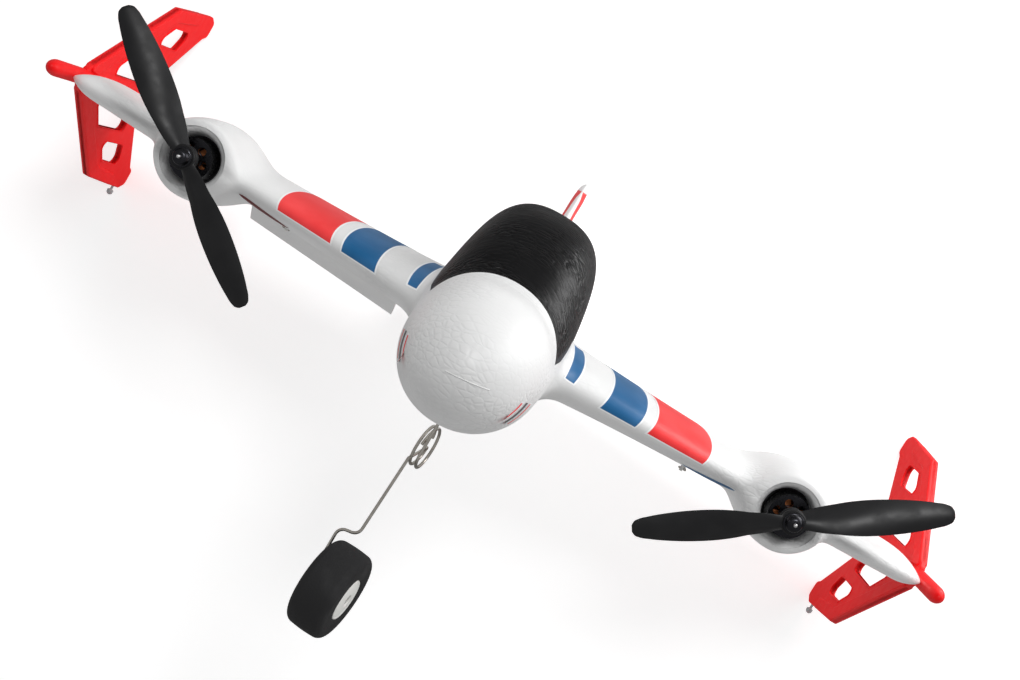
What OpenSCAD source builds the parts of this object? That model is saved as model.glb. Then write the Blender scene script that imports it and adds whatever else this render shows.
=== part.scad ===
// Twin-motor tail-sitting foam model aeroplane.
// Nose towards -Y, the model's own left wing towards +X, up is +Z.
// Dimensions are drawn about the wing chord, 57 mm behind the root leading edge.
// The finished row is moved so that it is centred in X and Y and stands on z = 0.

/* [Wing] */
// Half span to the end of the foam tip
half_span = 254; // [248:1:260]
// Half width of the constant section inside the fuselage
root_x = 36; // [35:1:38]
// Leading edge position at the root
root_le = -57; // [-60:1:-55]
// Trailing edge position at the root
root_te = 130; // [126:1:134]
// Rearward slope of the leading edge per unit of span
le_slope = 0.25; // [0.24:0.005:0.26]
// Forward slope of the trailing edge per unit of span
te_slope = 0.119; // [0.1:0.005:0.14]
// Thickness to chord ratio of the outer wing
thin_ratio = 0.12; // [0.11:0.005:0.13]

/* [Elevons] */
// Position of the hinge line
hinge_y = 72; // [70:1:74]
// Inboard end of the elevon bay
bay_in = 59; // [57:1:61]
// Outboard end of the elevon bay
bay_out = 159; // [150:1:160]
// Trailing edge down angle of the right elevon at rest
right_droop = 38; // [0:1:38]

/* [Nacelles and motors] */
// Distance of each motor axis from the centre plane
motor_x = 168.6; // [167:0.1:172]
// Height of each motor axis
motor_z = -1.5; // [-3:0.1:1]
// Front face of each nacelle
lip_y = -31; // [-33:0.5:-30]
// Outer radius of the motor bell
bell_r = 10.5; // [10:0.1:10.8]
// Outer radius of the propeller
prop_r = 76.2; // [70:0.1:78]
// Geometric pitch of the propeller
prop_pitch = 90; // [70:1:110]
// Rest angle of the left propeller above the wing line
left_prop_angle = 33.9; // [-90:0.1:90]
// Rest angle of the right propeller above the wing line
right_prop_angle = 38.4; // [-90:0.1:90]

/* [Fuselage] */
// Front end of the body taper
nose_y = -170; // [-175:1:-165]
// Rear end of the body
tail_y = 186; // [182:1:190]
// Height of the joint between the upper and lower mouldings
parting_z = -4; // [-6:0.5:-3]
// Foam wall thickness
wall = 6; // [5:0.5:7]

/* [Nose gear] */
// Wire radius
wire_r = 0.75; // [0.7:0.05:0.8]
// Turn of the removable leg about its own socket
gear_yaw = -12; // [-20:1:0]
// Position of the leg socket along the body
gear_y = -80; // [-84:1:-76]
// Height of the axle
axle_z = -135; // [-138:0.5:-130]
// Outer radius of the tyre
tyre_r = 22; // [21:0.5:23]
// Width of the tyre
tyre_w = 19.5; // [18:0.5:20]

/* [Tip fins] */
// Centre plane of each tip fin
fin_x = 258; // [257.5:0.1:258.5]
// Thickness of the fin web
fin_t = 3.2; // [2.4:0.1:3.6]
// Plane of the four feet that the model stands on for take-off
feet_y = 187; // [186:1:190]

/* [Hidden] */
$fn = 48;

eps = 0.01;
seam = 0.1;
run_gap = 0.05;
corner_swell = 0.03;
foam_white = [0.93, 0.93, 0.92];
fin_red = [0.92, 0.08, 0.10];
soft_black = [0.07, 0.07, 0.08];
board_green = [0.05, 0.25, 0.15];
copper = [0.72, 0.40, 0.20];
steel = [0.72, 0.72, 0.72];

// ---------- general helpers ----------

// Closed solid through a list of rings that all have the same number of points.
module loft(rings) {
    n = len(rings[0]);
    m = len(rings);
    points = [for (ring = rings) for (p = ring) p];
    sides = [
        for (i = [0:m - 2]) for (j = [0:n - 1])
            let (a = i * n + j, b = i * n + (j + 1) % n, c = a + n, d = b + n)
            each [[a, b, d], [a, d, c]]
    ];
    first_cap = [for (j = [1:n - 2]) [0, j + 1, j]];
    last = (m - 1) * n;
    last_cap = [for (j = [1:n - 2]) [last, last + j, last + j + 1]];
    polyhedron(points, concat(sides, first_cap, last_cap));
}

// Index of the table row that starts the interval holding y.
function row_at(t, y, i = 0) = (i >= len(t) - 2 || y <= t[i + 1][0]) ? i : row_at(t, y, i + 1);

// Slope of column k at row i, from the neighbouring rows.
function row_slope(t, i, k) =
    let (a = max(i - 1, 0), b = min(i + 1, len(t) - 1))
    (t[b][k] - t[a][k]) / (t[b][0] - t[a][0]);

// Smooth value of column k at y.
function smooth_at(t, y, k) =
    let (
        i = row_at(t, y),
        h = t[i + 1][0] - t[i][0],
        u = min(1, max(0, (y - t[i][0]) / h))
    )
    (2 * pow(u, 3) - 3 * pow(u, 2) + 1) * t[i][k]
    + (pow(u, 3) - 2 * pow(u, 2) + u) * h * row_slope(t, i, k)
    + (3 * pow(u, 2) - 2 * pow(u, 3)) * t[i + 1][k]
    + (pow(u, 3) - pow(u, 2)) * h * row_slope(t, i + 1, k);

// Children built for the left side, mirrored when side is -1.
module on_side(side) {
    if (side > 0) children();
    else mirror([1, 0, 0]) children();
}

// Children's +Z axis laid along +Y.
module along_y() {
    rotate([-90, 0, 0]) children();
}

// Flat shapes drawn as position and height, raised along +X.
module along_x() {
    rotate([90, 0, 90]) children();
}

// Children's +Z axis laid along +X.
module along_span() {
    rotate([0, 90, 0]) children();
}

// Straight round rod between two points.
module rod(p, q, r) {
    d = q - p;
    len_d = norm(d);
    translate(p) rotate([0, acos(d[2] / len_d), atan2(d[1], d[0])]) cylinder(h = len_d, r = r);
}

// Chain of rods with ball corners a shade fuller than the rods.
module bent_wire(path, r) {
    for (i = [0:len(path) - 2]) rod(path[i], path[i + 1], r);
    for (i = [1:len(path) - 2]) translate(path[i]) sphere(r = r + corner_swell);
}

// Box with rounded vertical edges, centred in X and Y, standing on z = 0.
module round_box(x, y, z, r) {
    union() {
        translate([-x / 2 + r, -y / 2, 0]) cube([x - 2 * r, y, z]);
        translate([-x / 2, -y / 2 + r, 0]) cube([x, y - 2 * r, z]);
        for (sx = [-1, 1]) for (sy = [-1, 1])
            translate([sx * (x / 2 - r), sy * (y / 2 - r), 0]) cylinder(h = z, r = r);
    }
}

// Corner points of a polygon, each corner replaced by an arc of the given radius.
function rounded(pts, r, steps = 4) = [
    for (i = [0:len(pts) - 1])
        let (
            p = pts[i],
            a = pts[(i + len(pts) - 1) % len(pts)],
            b = pts[(i + 1) % len(pts)],
            u = (a - p) / norm(a - p),
            v = (b - p) / norm(b - p),
            half = acos(u * v) / 2,
            reach = min(r / tan(half), norm(a - p) * 0.45, norm(b - p) * 0.45),
            rad = reach * tan(half),
            centre = p + (u + v) / norm(u + v) * rad / sin(half),
            start = p + u * reach - centre,
            a0 = atan2(start[1], start[0]),
            end = p + v * reach - centre,
            turn_raw = atan2(end[1], end[0]) - a0,
            turn = turn_raw > 180 ? turn_raw - 360 : (turn_raw < -180 ? turn_raw + 360 : turn_raw)
        )
        for (k = [0:steps]) centre + rad * [cos(a0 + turn * k / steps), sin(a0 + turn * k / steps)]
];

// ---------- wing ----------

foil_steps = 13;
tip_run = 14;
edge_half = 0.6;
root_thicker = 0.03;
root_fade = 40;

function wing_le(x) = root_le + le_slope * (max(x, root_x) - root_x);
function wing_te(x) = root_te - te_slope * (max(x, root_x) - root_x);
function wing_ratio(x) = thin_ratio + root_thicker * exp(-(max(x, root_x) - root_x) / root_fade);

// Half thickness of a symmetrical foil of unit chord and the given ratio.
function foil_half(u, ratio) = 5 * ratio
    * (0.2969 * sqrt(u) - 0.1260 * u - 0.3516 * u * u + 0.2843 * pow(u, 3) - 0.1036 * pow(u, 4));

function chord_step(i) = (1 - cos(180 * i / foil_steps)) / 2;

// Fraction of full size left at x where the tip rounds off.
function tip_scale(x) =
    let (t = max(0, (x - (half_span - tip_run)) / tip_run)) sqrt(max(0, 1 - t * t));

// One wing section as a closed ring in the plane x.
function wing_ring(x) =
    let (
        k = max(0.12, tip_scale(x)),
        mid = wing_le(x) + (wing_te(x) - wing_le(x)) * 0.5,
        le = mid - (mid - wing_le(x)) * (0.7 + 0.3 * k),
        te = mid + (wing_te(x) - mid) * (0.8 + 0.2 * k),
        chord = te - le
    )
    [
        for (i = [0:2 * foil_steps])
            let (
                upper = i <= foil_steps,
                u = chord_step(upper ? foil_steps - i : i - foil_steps),
                h = (foil_half(u, wing_ratio(x)) * chord + edge_half * u) * k
            )
            [x, le + u * chord, upper ? -h : h]
    ];

wing_stations = [
    0, root_x, 60, 105, 150, 195, half_span - tip_run,
    half_span - 9, half_span - 4.5, half_span - 1.5, half_span,
];

module wing_foam() {
    loft([for (x = wing_stations) wing_ring(x)]);
}

// Wing thickness at the hinge line, halved.
function hinge_r(x) =
    let (c = wing_te(x) - wing_le(x), u = (hinge_y - wing_le(x)) / c)
    foil_half(u, wing_ratio(x)) * c + edge_half * u;

// Nacelle outline as points of distance along the motor axis and radius.
nacelle_end = 86;
lip_r = 19.5;
lip_round = 2.4;
nacelle_shape = [
    [lip_y + lip_round, lip_r], [-15, 20.6], [5, 20.4], [20, 19.2], [35, 17.2], [50, 14.2],
    [64, 10.6], [76, 6.4], [nacelle_end - 3, 3],
];
mount_bore_r = 12.1;
mount_seat_y = -15;

module nacelle_foam() {
    profile = concat(
        [[0, lip_y]],
        [for (a = [90:-22.5:22.5])
            [lip_r - lip_round * (1 - cos(a)), lip_y + lip_round * (1 - sin(a))]],
        [for (p = nacelle_shape) [p[1], p[0]]],
        [[0, nacelle_end]]
    );
    translate([motor_x, 0, motor_z]) along_y() rotate_extrude() polygon(profile);
}

// Stepped bore for the motor, open at the front: each step is a depth and a radius.
module nacelle_bore() {
    translate([motor_x, 0, motor_z]) along_y() {
        for (step = [[lip_y + 2.5, 16], [lip_y + 6.5, 13.8], [mount_seat_y, mount_bore_r], [-5, 9]])
            translate([0, 0, lip_y - 1]) cylinder(h = step[0] - lip_y + 1, r = step[1]);
    }
}

spar_y = 5;
spar_r = 3;
spar_reach = 165;
lead_y = -10;
lead_z = -2;

// Channel for the motor leads, from the fuselage into the nacelle.
module lead_channel() {
    translate([-eps, lead_y - 4, lead_z - 1.6]) cube([motor_x - 8, 8, 3.2]);
}

cove_gap = 0.5;

// Round-nosed bay that the elevon swings in.
module elevon_bay() {
    long = bay_out - bay_in;
    translate([bay_in, hinge_y, 0]) along_span()
        cylinder(h = long, r1 = hinge_r(bay_in) + cove_gap, r2 = hinge_r(bay_out) + cove_gap);
    translate([bay_in, hinge_y, -20]) cube([long, 80, 40]);
}

servo_x0 = 98;
servo_x1 = 117;
servo_y = hinge_y - 50;
servo_z = -4;
servo_half = 4.2;
arm_x = 119.6;
arm_t = 1.6;
link_x = arm_x + arm_t + 1.4;

// Pocket for the servo and slot for its linkage, open on the underside.
module servo_pocket() {
    deep = 30;
    top = servo_z + servo_half + seam;
    translate([servo_x0 - seam, servo_y - 7 - seam, top - deep])
        cube([servo_x1 - servo_x0 + 2 * seam, 21 + 2 * seam, deep]);
    translate([servo_x1 - 1, servo_y - 13, top - deep]) cube([9.5, hinge_y - servo_y + 14, deep]);
}

pin_r = 0.75;
pin_len = 9;

// Two hinge pins of one wing, as rods along X.
module pins(r, extra = 0) {
    for (x = [bay_in - 4, bay_out + 4 - pin_len])
        translate([x - extra, hinge_y, 0]) along_span() cylinder(h = pin_len + 2 * extra, r = r);
}

fin_peg_y = [48, 78];
fin_peg_r = 1.5;

module fin_pegs(r, long) {
    for (y = fin_peg_y)
        translate([half_span - long + 6, y, 0]) along_span() cylinder(h = long, r = r);
}

module wing(side) {
    color(foam_white) on_side(side) difference() {
        union() {
            wing_foam();
            nacelle_foam();
        }
        nacelle_bore();
        lead_channel();
        elevon_bay();
        servo_pocket();
        pins(pin_r + eps, 0.2);
        translate([-1, spar_y, 0]) along_span() cylinder(h = spar_reach + 1.5, r = spar_r + eps);
        fin_pegs(fin_peg_r + run_gap, 14);
    }
}

module wing_spar() {
    color(soft_black) translate([-spar_reach, spar_y, 0]) along_span() difference() {
        cylinder(h = 2 * spar_reach, r = spar_r);
        translate([0, 0, -1]) cylinder(h = 2 * spar_reach + 2, r = 2);
    }
}

// ---------- elevons and their linkage ----------

elevon_gap = 0.7;
horn_hole_r = 10;
link_r = 0.6;
link_hole_r = link_r + 0.06;

// Children turned trailing edge down by droop about the spanwise line at y and z.
module drooped(droop, y, z = 0) {
    translate([0, y, z]) rotate([-droop, 0, 0]) children();
}

module elevon(side, droop) {
    x0 = bay_in + elevon_gap;
    x1 = bay_out - elevon_gap;
    function tail_ring(x) =
        let (r = hinge_r(x), c = wing_te(x) - hinge_y)
        [[x, 0, r], [x, 0, -r], [x, c * 0.5, -r * 0.58], [x, c - 0.6, -0.7], [x, c, 0],
         [x, c - 0.6, 0.7], [x, c * 0.5, r * 0.58]];
    color(foam_white) on_side(side) drooped(droop, hinge_y) difference() {
        union() {
            translate([x0, 0, 0]) along_span() cylinder(h = x1 - x0, r1 = hinge_r(x0), r2 = hinge_r(x1));
            loft([tail_ring(x1), tail_ring(x0)]);
        }
        translate([0, -hinge_y, 0]) pins(pin_r + run_gap, 0.3);
        translate([arm_x - seam, -4 - seam, 2 + seam - 20]) cube([arm_t + 2 * seam, 14 + 2 * seam, 20]);
    }
}

module hinge_pins() {
    color(steel) for (side = [-1, 1]) on_side(side) pins(pin_r);
}

module control_horn(side, droop) {
    color(soft_black) on_side(side) drooped(droop, hinge_y) difference() {
        translate([arm_x, 0, 0]) along_x() linear_extrude(arm_t)
            polygon(rounded([[-4, 2], [10, 2], [10, -4.5], [2, -12], [-2, -12], [-4, -5]], 1));
        translate([arm_x - 1, 0, -horn_hole_r]) along_span() cylinder(h = arm_t + 2, r = link_hole_r);
    }
}

module servo(side) {
    color([0.10, 0.22, 0.55]) on_side(side) translate([0, servo_y, servo_z]) union() {
        translate([servo_x0, -7, -servo_half]) cube([servo_x1 - servo_x0, 21, 2 * servo_half]);
        translate([servo_x1 - eps, 0, 0]) along_span() cylinder(h = 1.4, r = 3.4);
        translate([servo_x1, 0, 0]) along_span() cylinder(h = 5.2, r = 1.2);
    }
}

module servo_arm(side, droop) {
    color([0.92, 0.92, 0.90]) on_side(side) drooped(droop, servo_y, servo_z) difference() {
        union() {
            translate([servo_x1 + 1.5, 0, 0]) along_span() cylinder(h = 3.2, r = 2.6);
            translate([arm_x, 0, 0]) along_x() linear_extrude(arm_t)
                polygon([[-2.4, 0], [2.4, 0], [1.5, -horn_hole_r], [-1.5, -horn_hole_r]]);
            translate([arm_x, 0, -horn_hole_r]) along_span() cylinder(h = arm_t, r = 1.5);
        }
        translate([servo_x1, 0, 0]) along_span() cylinder(h = 6, r = 1.2 + run_gap);
        translate([arm_x - 1, 0, -horn_hole_r]) along_span() cylinder(h = arm_t + 2, r = link_hole_r);
    }
}

module pushrod(side, droop) {
    dy = -horn_hole_r * sin(droop);
    dz = -horn_hole_r * cos(droop);
    color(steel) on_side(side) bent_wire([
        [arm_x - 1, servo_y + dy, servo_z + dz], [link_x, servo_y + dy, servo_z + dz],
        [link_x, hinge_y + dy, dz], [arm_x - 1, hinge_y + dy, dz],
    ], link_r);
}

// ---------- fuselage ----------

// Rows: position, section centre height, half width, top, bottom, corner exponent, side taper.
body_rows = [
    [-100, -5.7, 34.5, 28.6, -40.0, 2.0, 0],
    [-90, -4.0, 35.2, 31.0, -40.6, 2.0, 0.01],
    [-70, 4.0, 36.0, 45.5, -41.0, 2.1, 0.04],
    [-45, 11.0, 36.3, 60.5, -40.5, 2.3, 0.07],
    [-15, 15.0, 36.5, 67.2, -39.0, 2.3, 0.07],
    [20, 14.0, 35.5, 64.0, -35.5, 2.3, 0.07],
    [60, 11.0, 31.0, 53.5, -29.0, 2.2, 0.05],
    [100, 8.0, 24.0, 40.5, -22.0, 2.1, 0.03],
    [140, 6.0, 16.0, 28.0, -15.0, 2.0, 0],
    [175, 4.0, 9.0, 17.5, -9.0, 2.0, 0],
    [tail_y, 3.0, 6.0, 12.5, -6.5, 2.0, 0],
];
body_points = 32;
ball_y = body_rows[0][0];

// One body section at y, pulled in by inset and kept between two heights.
function body_ring(y, inset = 0, low = -200, high = 200) =
    let (
        front = y < ball_y,
        t = front ? (ball_y - y) / (ball_y - nose_y) : 0,
        k = front ? sqrt(max(0.0004, 1 - t * t)) : 1,
        q = front ? ball_y : y,
        zc = smooth_at(body_rows, q, 1),
        a = smooth_at(body_rows, q, 2) * k - inset,
        up = (smooth_at(body_rows, q, 3) - zc) * k - inset,
        down = (zc - smooth_at(body_rows, q, 4)) * k - inset,
        n = smooth_at(body_rows, q, 5),
        taper = smooth_at(body_rows, q, 6)
    )
    [
        for (j = [0:body_points - 1])
            let (
                ang = 360 * (j + 0.5) / body_points,
                c = cos(ang),
                s = sin(ang),
                sx = sign(c) * pow(abs(c), 2 / n),
                sz = sign(s) * pow(abs(s), 2 / n),
                pinch = sz > 0 ? 1 - taper * sin(180 * sz) : 1,
                z = zc + (sz > 0 ? up : down) * sz
            )
            [a * sx * pinch, y, min(high, max(low, z))]
    ];

nose_angles = [87, 76, 64, 52, 40, 28, 15];
body_stations = concat(
    [for (a = nose_angles) ball_y - (ball_y - nose_y) * sin(a)],
    [-100, -90, -80, -68, -55, -40, -24, -8, 10, 28, 46, 66, 86, 106, 128, 152, tail_y]
);

// Convex slabs between neighbouring sections, end to end.
module body_solid() {
    for (i = [0:len(body_stations) - 2])
        hull() loft([body_ring(body_stations[i]), body_ring(body_stations[i + 1])]);
}

// Hollow that follows the body shape.
module body_hollow(y0, y1, low, high) {
    steps = 7;
    loft([for (i = [0:steps]) body_ring(y0 + (y1 - y0) * i / steps, wall, low, high)]);
}

hatch_front = -90;
hatch_rear = 75;
hatch_low = 18;

// Side outline of the removable canopy, grown by gap.
module hatch_region(gap) {
    translate([-60, 0, 0]) along_x() linear_extrude(120) polygon([
        [hatch_front - gap, 8 - gap], [-77, 9.5 - gap], [-62, 14 - gap], [-50, hatch_low - gap],
        [hatch_rear + gap, hatch_low - gap], [hatch_rear + gap, 90], [hatch_front - gap, 90],
    ]);
}

// Space that the wing fills where it passes through the body.
module wing_tunnel() {
    ring = [for (p = wing_ring(root_x)) [p[1], p[2]]];
    translate([-60, 0, 0]) along_x() linear_extrude(120) polygon(ring);
}

bay_front = -82;
bay_rear = 66;
belly_front = -92;
belly_rear = 62;
magnet_r = 3;
magnet_h = 2;
magnet_x = 22;
magnet_y = 71;
magnet_gap = 0.15;
fin_slot_half = 3.6;
fin_root_y = 100;
fin_rear_y = 180;
fin_foot_z = 14;

module fuselage_upper() {
    color(foam_white) difference() {
        body_solid();
        translate([-60, -200, parting_z - 100 + eps]) cube([120, 420, 100]);
        wing_tunnel();
        hatch_region(seam);
        body_hollow(bay_front, bay_rear, 8, 200);
        translate([-fin_slot_half, fin_root_y, fin_foot_z])
            cube([2 * fin_slot_half, fin_rear_y - fin_root_y + seam, 60]);
        magnet_pair(hatch_low - magnet_h - 2 * magnet_gap, magnet_h + 1, seam);
    }
}

module fuselage_lower() {
    color(foam_white) difference() {
        body_solid();
        translate([-60, -200, parting_z]) cube([120, 420, 120]);
        wing_tunnel();
        body_hollow(belly_front, belly_rear, -200, parting_z + 2);
        translate([gear_x, gear_y, -60]) cylinder(h = 40, r = wire_r + 0.4);
        translate([gear_x, gear_y, block_low - seam])
            round_box(block_w + 2 * seam, block_w + 2 * seam, 20, 2);
        gear_screws(gear_screw_r + seam);
    }
}

module canopy() {
    color(soft_black) difference() {
        intersection() {
            body_solid();
            hatch_region(0);
        }
        body_hollow(bay_front, bay_rear, 8, 200);
        magnet_pair(hatch_low - 1, magnet_h + 1 + magnet_gap, seam);
    }
}

// Two discs at the rear corners of the canopy.
module magnet_pair(z, h, gap = 0) {
    for (x = [-magnet_x, magnet_x]) translate([x, magnet_y, z]) cylinder(h = h, r = magnet_r + gap);
}

module hatch_magnets() {
    color(steel) magnet_pair(hatch_low - magnet_h - 2 * magnet_gap, magnet_h);
}

module canopy_magnets() {
    color(steel) magnet_pair(hatch_low + eps, magnet_h);
}

// Upright centre fin with a rounded leading edge, on a rectangular root tongue.
module tail_fin() {
    // Rows: height, leading edge, trailing edge, thickness.
    rows = [[30, 101, 180, 7], [50, 108, 184, 7], [70, 125, 186, 7], [84, 137, 186.5, 6.8],
            [89, 143, 186, 6], [91.5, 150, 184, 3.6]];
    steps = 9;
    ring = function (r) [
        for (i = [0:2 * steps - 1])
            let (
                u = (1 - cos(180 * i / steps)) / 2,
                side = i < steps ? -1 : 1,
                c = r[2] - r[1],
                h = r[3] / 2 * min(1, sqrt(min(u * c, 9) / 9), 0.2 + 2.4 * (1 - u))
            )
            [side * (i == 0 || i == steps ? 0 : h), r[1] + u * c, r[0]]
    ];
    color(foam_white) union() {
        translate([seam - fin_slot_half, fin_root_y + seam, fin_foot_z + seam])
            cube([2 * (fin_slot_half - seam), fin_rear_y - fin_root_y - 2 * seam, 30.5 - fin_foot_z]);
        loft([for (r = rows) ring(r)]);
    }
}

// ---------- tip fins ----------

// Upper half of the tip fin outline, as points of position and height.
half_outline = [
    [30, 5], [115.5, 56.5], [160, 60.5], [179, 62], [feet_y, 59], [feet_y, 49], [180, 46.5],
    [149, 21], [135, 6],
];
half_windows = [
    [[124, 45], [154, 46.5], [144, 33], [106, 32.5]],
    [[63, 7], [88, 24.5], [134, 24.5], [117, 7]],
];
edge_outline = [[30, 5], [115.5, 56.5], [160, 60.5], [159, 53], [121, 48.5], [44, 3.5]];

function flipped(pts) = [for (i = [len(pts) - 1:-1:0]) [pts[i][0], -pts[i][1]]];

// Plate of thickness t on the fin plane.
module fin_plate(t) {
    translate([fin_x - t / 2, 0, 0]) along_x() linear_extrude(t) children();
}

// Web of the fin with its four windows.
module fin_web() {
    fin_plate(fin_t) difference() {
        polygon(rounded(concat(half_outline, flipped(half_outline)), 3.5));
        for (w = half_windows) {
            polygon(rounded(w, 3.5));
            polygon(rounded(flipped(w), 3.5));
        }
    }
}

// Thick strip along both leading edges.
module fin_edges() {
    fin_plate(fin_t + 2) polygon(rounded(edge_outline, 3));
    fin_plate(fin_t + 2) polygon(rounded(flipped(edge_outline), 3));
}

// Rounded pod at the front of the fin that meets the wing tip.
module fin_bullet() {
    r = 4.4;
    translate([fin_x + 0.6, 0, 0]) along_y() rotate_extrude() polygon([
        [0, -13], [1.7, -12.5], [3.1, -11], [4.0, -8.5], [r, -4],
        [r, 40], [3.6, 70], [2.2, 110], [0, 112],
    ]);
}

module tip_fin(side) {
    color(fin_red) on_side(side) difference() {
        union() {
            fin_web();
            fin_edges();
            intersection() {
                fin_bullet();
                translate([half_span + 0.2, -20, -20]) cube([20, 150, 40]);
            }
            fin_pegs(fin_peg_r, 10.5);
        }
        translate([fin_x, skid_y, skid_z]) cylinder(h = 6, r = 0.8 + eps);
    }
}

skid_y = 172;
skid_z = -65;

// Small clear rubbing feet on pegs, under the rear of the lower fins.
module fin_skids() {
    color([0.85, 0.88, 0.9]) for (side = [-1, 1]) on_side(side)
        translate([fin_x, skid_y, skid_z]) {
            cylinder(h = 5, r = 0.8);
            translate([0, 0, -0.6]) cylinder(h = 1.2, r = 2);
            translate([0, 0, -0.6]) sphere(r = 2);
        }
}

// ---------- power and control equipment ----------

wing_top = 14.4;
tray_y = -16;
tray_gap = 0.6;
tray_t = 1.5;
battery_h = 18;

module battery_tray() {
    color([0.75, 0.62, 0.42]) translate([0, tray_y, wing_top + tray_gap]) difference() {
        round_box(36, 74, tray_t, 3);
        for (s = [-1, 1]) translate([s * 16.2 - 0.9, -9, -1]) cube([1.8, 18, 4]);
    }
}

module battery() {
    color([0.14, 0.25, 0.55]) translate([0, tray_y, wing_top + tray_gap + tray_t + seam])
        round_box(30, 66, battery_h, 2);
}

module battery_strap() {
    low = wing_top + seam;
    high = wing_top + tray_gap + tray_t + battery_h + 0.2;
    color([0.12, 0.12, 0.13]) translate([0, tray_y + 8, 0]) rotate([90, 0, 0])
        linear_extrude(16) difference() {
        polygon(rounded([[-16.9, low], [16.9, low], [16.9, high + 1.2], [-16.9, high + 1.2]], 2));
        polygon([[-15.6, low + 0.4], [15.6, low + 0.4], [15.6, high], [-15.6, high]]);
    }
}

module battery_lead() {
    color([0.75, 0.08, 0.08]) union() {
        bent_wire([[4, 17.3, 24], [4, 26, 24], [4, 30, 20]], 0.9);
        bent_wire([[-4, 17.3, 24], [-4, 26, 24], [-4, 30, 20]], 0.9);
        translate([-6.5, 27, 15.5]) cube([13, 12, 6]);
    }
}

belly_z = -33;

module flight_controller() {
    color(board_green) translate([0, -32, belly_z + 6.5]) union() {
        round_box(34, 34, 1.6, 2);
        translate([-6, -6, 1.6 - eps]) cube([12, 12, 1.8]);
        translate([-15, 8, 1.6 - eps]) cube([30, 6, 6]);
        translate([8, -13, 1.6 - eps]) cube([6, 5, 1.5]);
    }
}

module speed_controllers() {
    color([0.10, 0.10, 0.12]) for (s = [-1, 1]) translate([s * 9, 4, belly_z + 10.5]) union() {
        round_box(15, 28, 5, 1.5);
        translate([0, -17, 2.5]) along_y() cylinder(h = 4, r = 2.5);
    }
}

module motor_leads() {
    color([0.1, 0.1, 0.1]) for (side = [-1, 1]) on_side(side) for (k = [-1:1])
        bent_wire([[20, lead_y + k * 2.3, lead_z], [motor_x - 6 - 2 * k, lead_y + k * 2.3, lead_z]], 0.9);
}

// ---------- motors ----------

// Placed at one motor, with the local z axis along +Y.
module at_motor(side) {
    on_side(side) translate([motor_x, 0, motor_z]) along_y() children();
}

mount_t = 2;
mount_y = mount_seat_y - mount_t;
shaft_r = 1;
bearing_r = 2.5;
tube_r = 3.4;
stator_y = -29.5;
stator_h = 7;
slots = 9;
screw_circle = 6;
screw_r = 0.8;

module mount_holes(r, y, h) {
    for (a = [45:90:315]) rotate(a) translate([screw_circle, 0, y]) cylinder(h = h, r = r);
}

module motor_mount(side) {
    color(soft_black) at_motor(side) difference() {
        translate([0, 0, mount_y]) cylinder(h = mount_t, r = mount_bore_r - 0.1);
        translate([0, 0, mount_y - 1]) cylinder(h = mount_t + 2, r = 3);
        mount_holes(screw_r + eps, mount_y - 1, mount_t + 2);
    }
}

module mount_screws() {
    color(steel) for (side = [-1, 1]) at_motor(side) {
        mount_holes(screw_r, mount_y - 1.5, 5);
        mount_holes(1.5, mount_y - 2.7, 1.2);
    }
}

base_t = 1.5;

module motor_base(side) {
    color([0.55, 0.55, 0.58]) at_motor(side) difference() {
        union() {
            translate([0, 0, mount_y - base_t]) cylinder(h = base_t, r = 8.2);
            translate([0, 0, -32]) cylinder(h = mount_y + 32 - eps, r = tube_r);
        }
        translate([0, 0, -33]) cylinder(h = 20, r = bearing_r + 0.02);
        mount_holes(screw_r + eps, mount_y - 3, 6);
    }
}

module stator(side) {
    color([0.35, 0.36, 0.40]) at_motor(side) translate([0, 0, stator_y])
        linear_extrude(stator_h) difference() {
        union() {
            circle(r = 4.6);
            for (i = [0:slots - 1]) rotate(i * 360 / slots) translate([3.8, -0.7]) square([4.4, 1.4]);
            for (i = [0:slots - 1]) rotate(i * 360 / slots) intersection() {
                difference() {
                    circle(r = 8.7);
                    circle(r = 7.9);
                }
                polygon([[0, 0], [12, -3.2], [12, 3.2]]);
            }
        }
        circle(r = tube_r + 0.02);
    }
}

// Copper coils, one round each tooth.
module windings(side) {
    color(copper) at_motor(side) for (i = [0:slots - 1]) rotate(i * 360 / slots)
        translate([4.75, 0, stator_y + stator_h / 2]) along_x() linear_extrude(3) difference() {
            square([2.9, stator_h + 1.9], center = true);
            square([1.5, stator_h + 0.1], center = true);
        }
}

bearing_ys = [-31.8, -21.5];

module bearings() {
    color(steel) for (side = [-1, 1]) at_motor(side) for (y = bearing_ys) translate([0, 0, y]) difference() {
        cylinder(h = 2.5, r = bearing_r);
        translate([0, 0, -1]) cylinder(h = 5, r = shaft_r + 0.03);
    }
}

bell_front = -35;
bell_rear = -21;
magnet_ring_r = 9.05;
prop_face = -42.5;

// Rotor can: open at the rear, windowed at the front, with a hub for the shaft.
module bell(side) {
    color([0.10, 0.10, 0.11]) at_motor(side) difference() {
        union() {
            translate([0, 0, bell_front]) cylinder(h = bell_rear - bell_front, r = bell_r);
            translate([0, 0, prop_face]) cylinder(h = bell_front - prop_face + eps, r = 3.1);
        }
        translate([0, 0, bell_front + 1.8]) cylinder(h = 20, r = bell_r - 0.75);
        for (a = [0:60:300]) rotate(a) translate([6.6, 0, bell_front - 1]) cylinder(h = 4, r = 2.1);
        translate([0, 0, prop_face - 1]) cylinder(h = 20, r = shaft_r + eps);
    }
}

magnets = 12;

module rotor_magnets(side) {
    color([0.75, 0.75, 0.78]) at_motor(side) translate([0, 0, stator_y - 0.5]) linear_extrude(stator_h + 1)
        for (i = [0:magnets - 1]) rotate(i * 360 / magnets) intersection() {
            difference() {
                circle(r = bell_r - 0.77);
                circle(r = magnet_ring_r);
            }
            polygon([[0, 0], [14, -2.9], [14, 2.9]]);
        }
}

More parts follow.
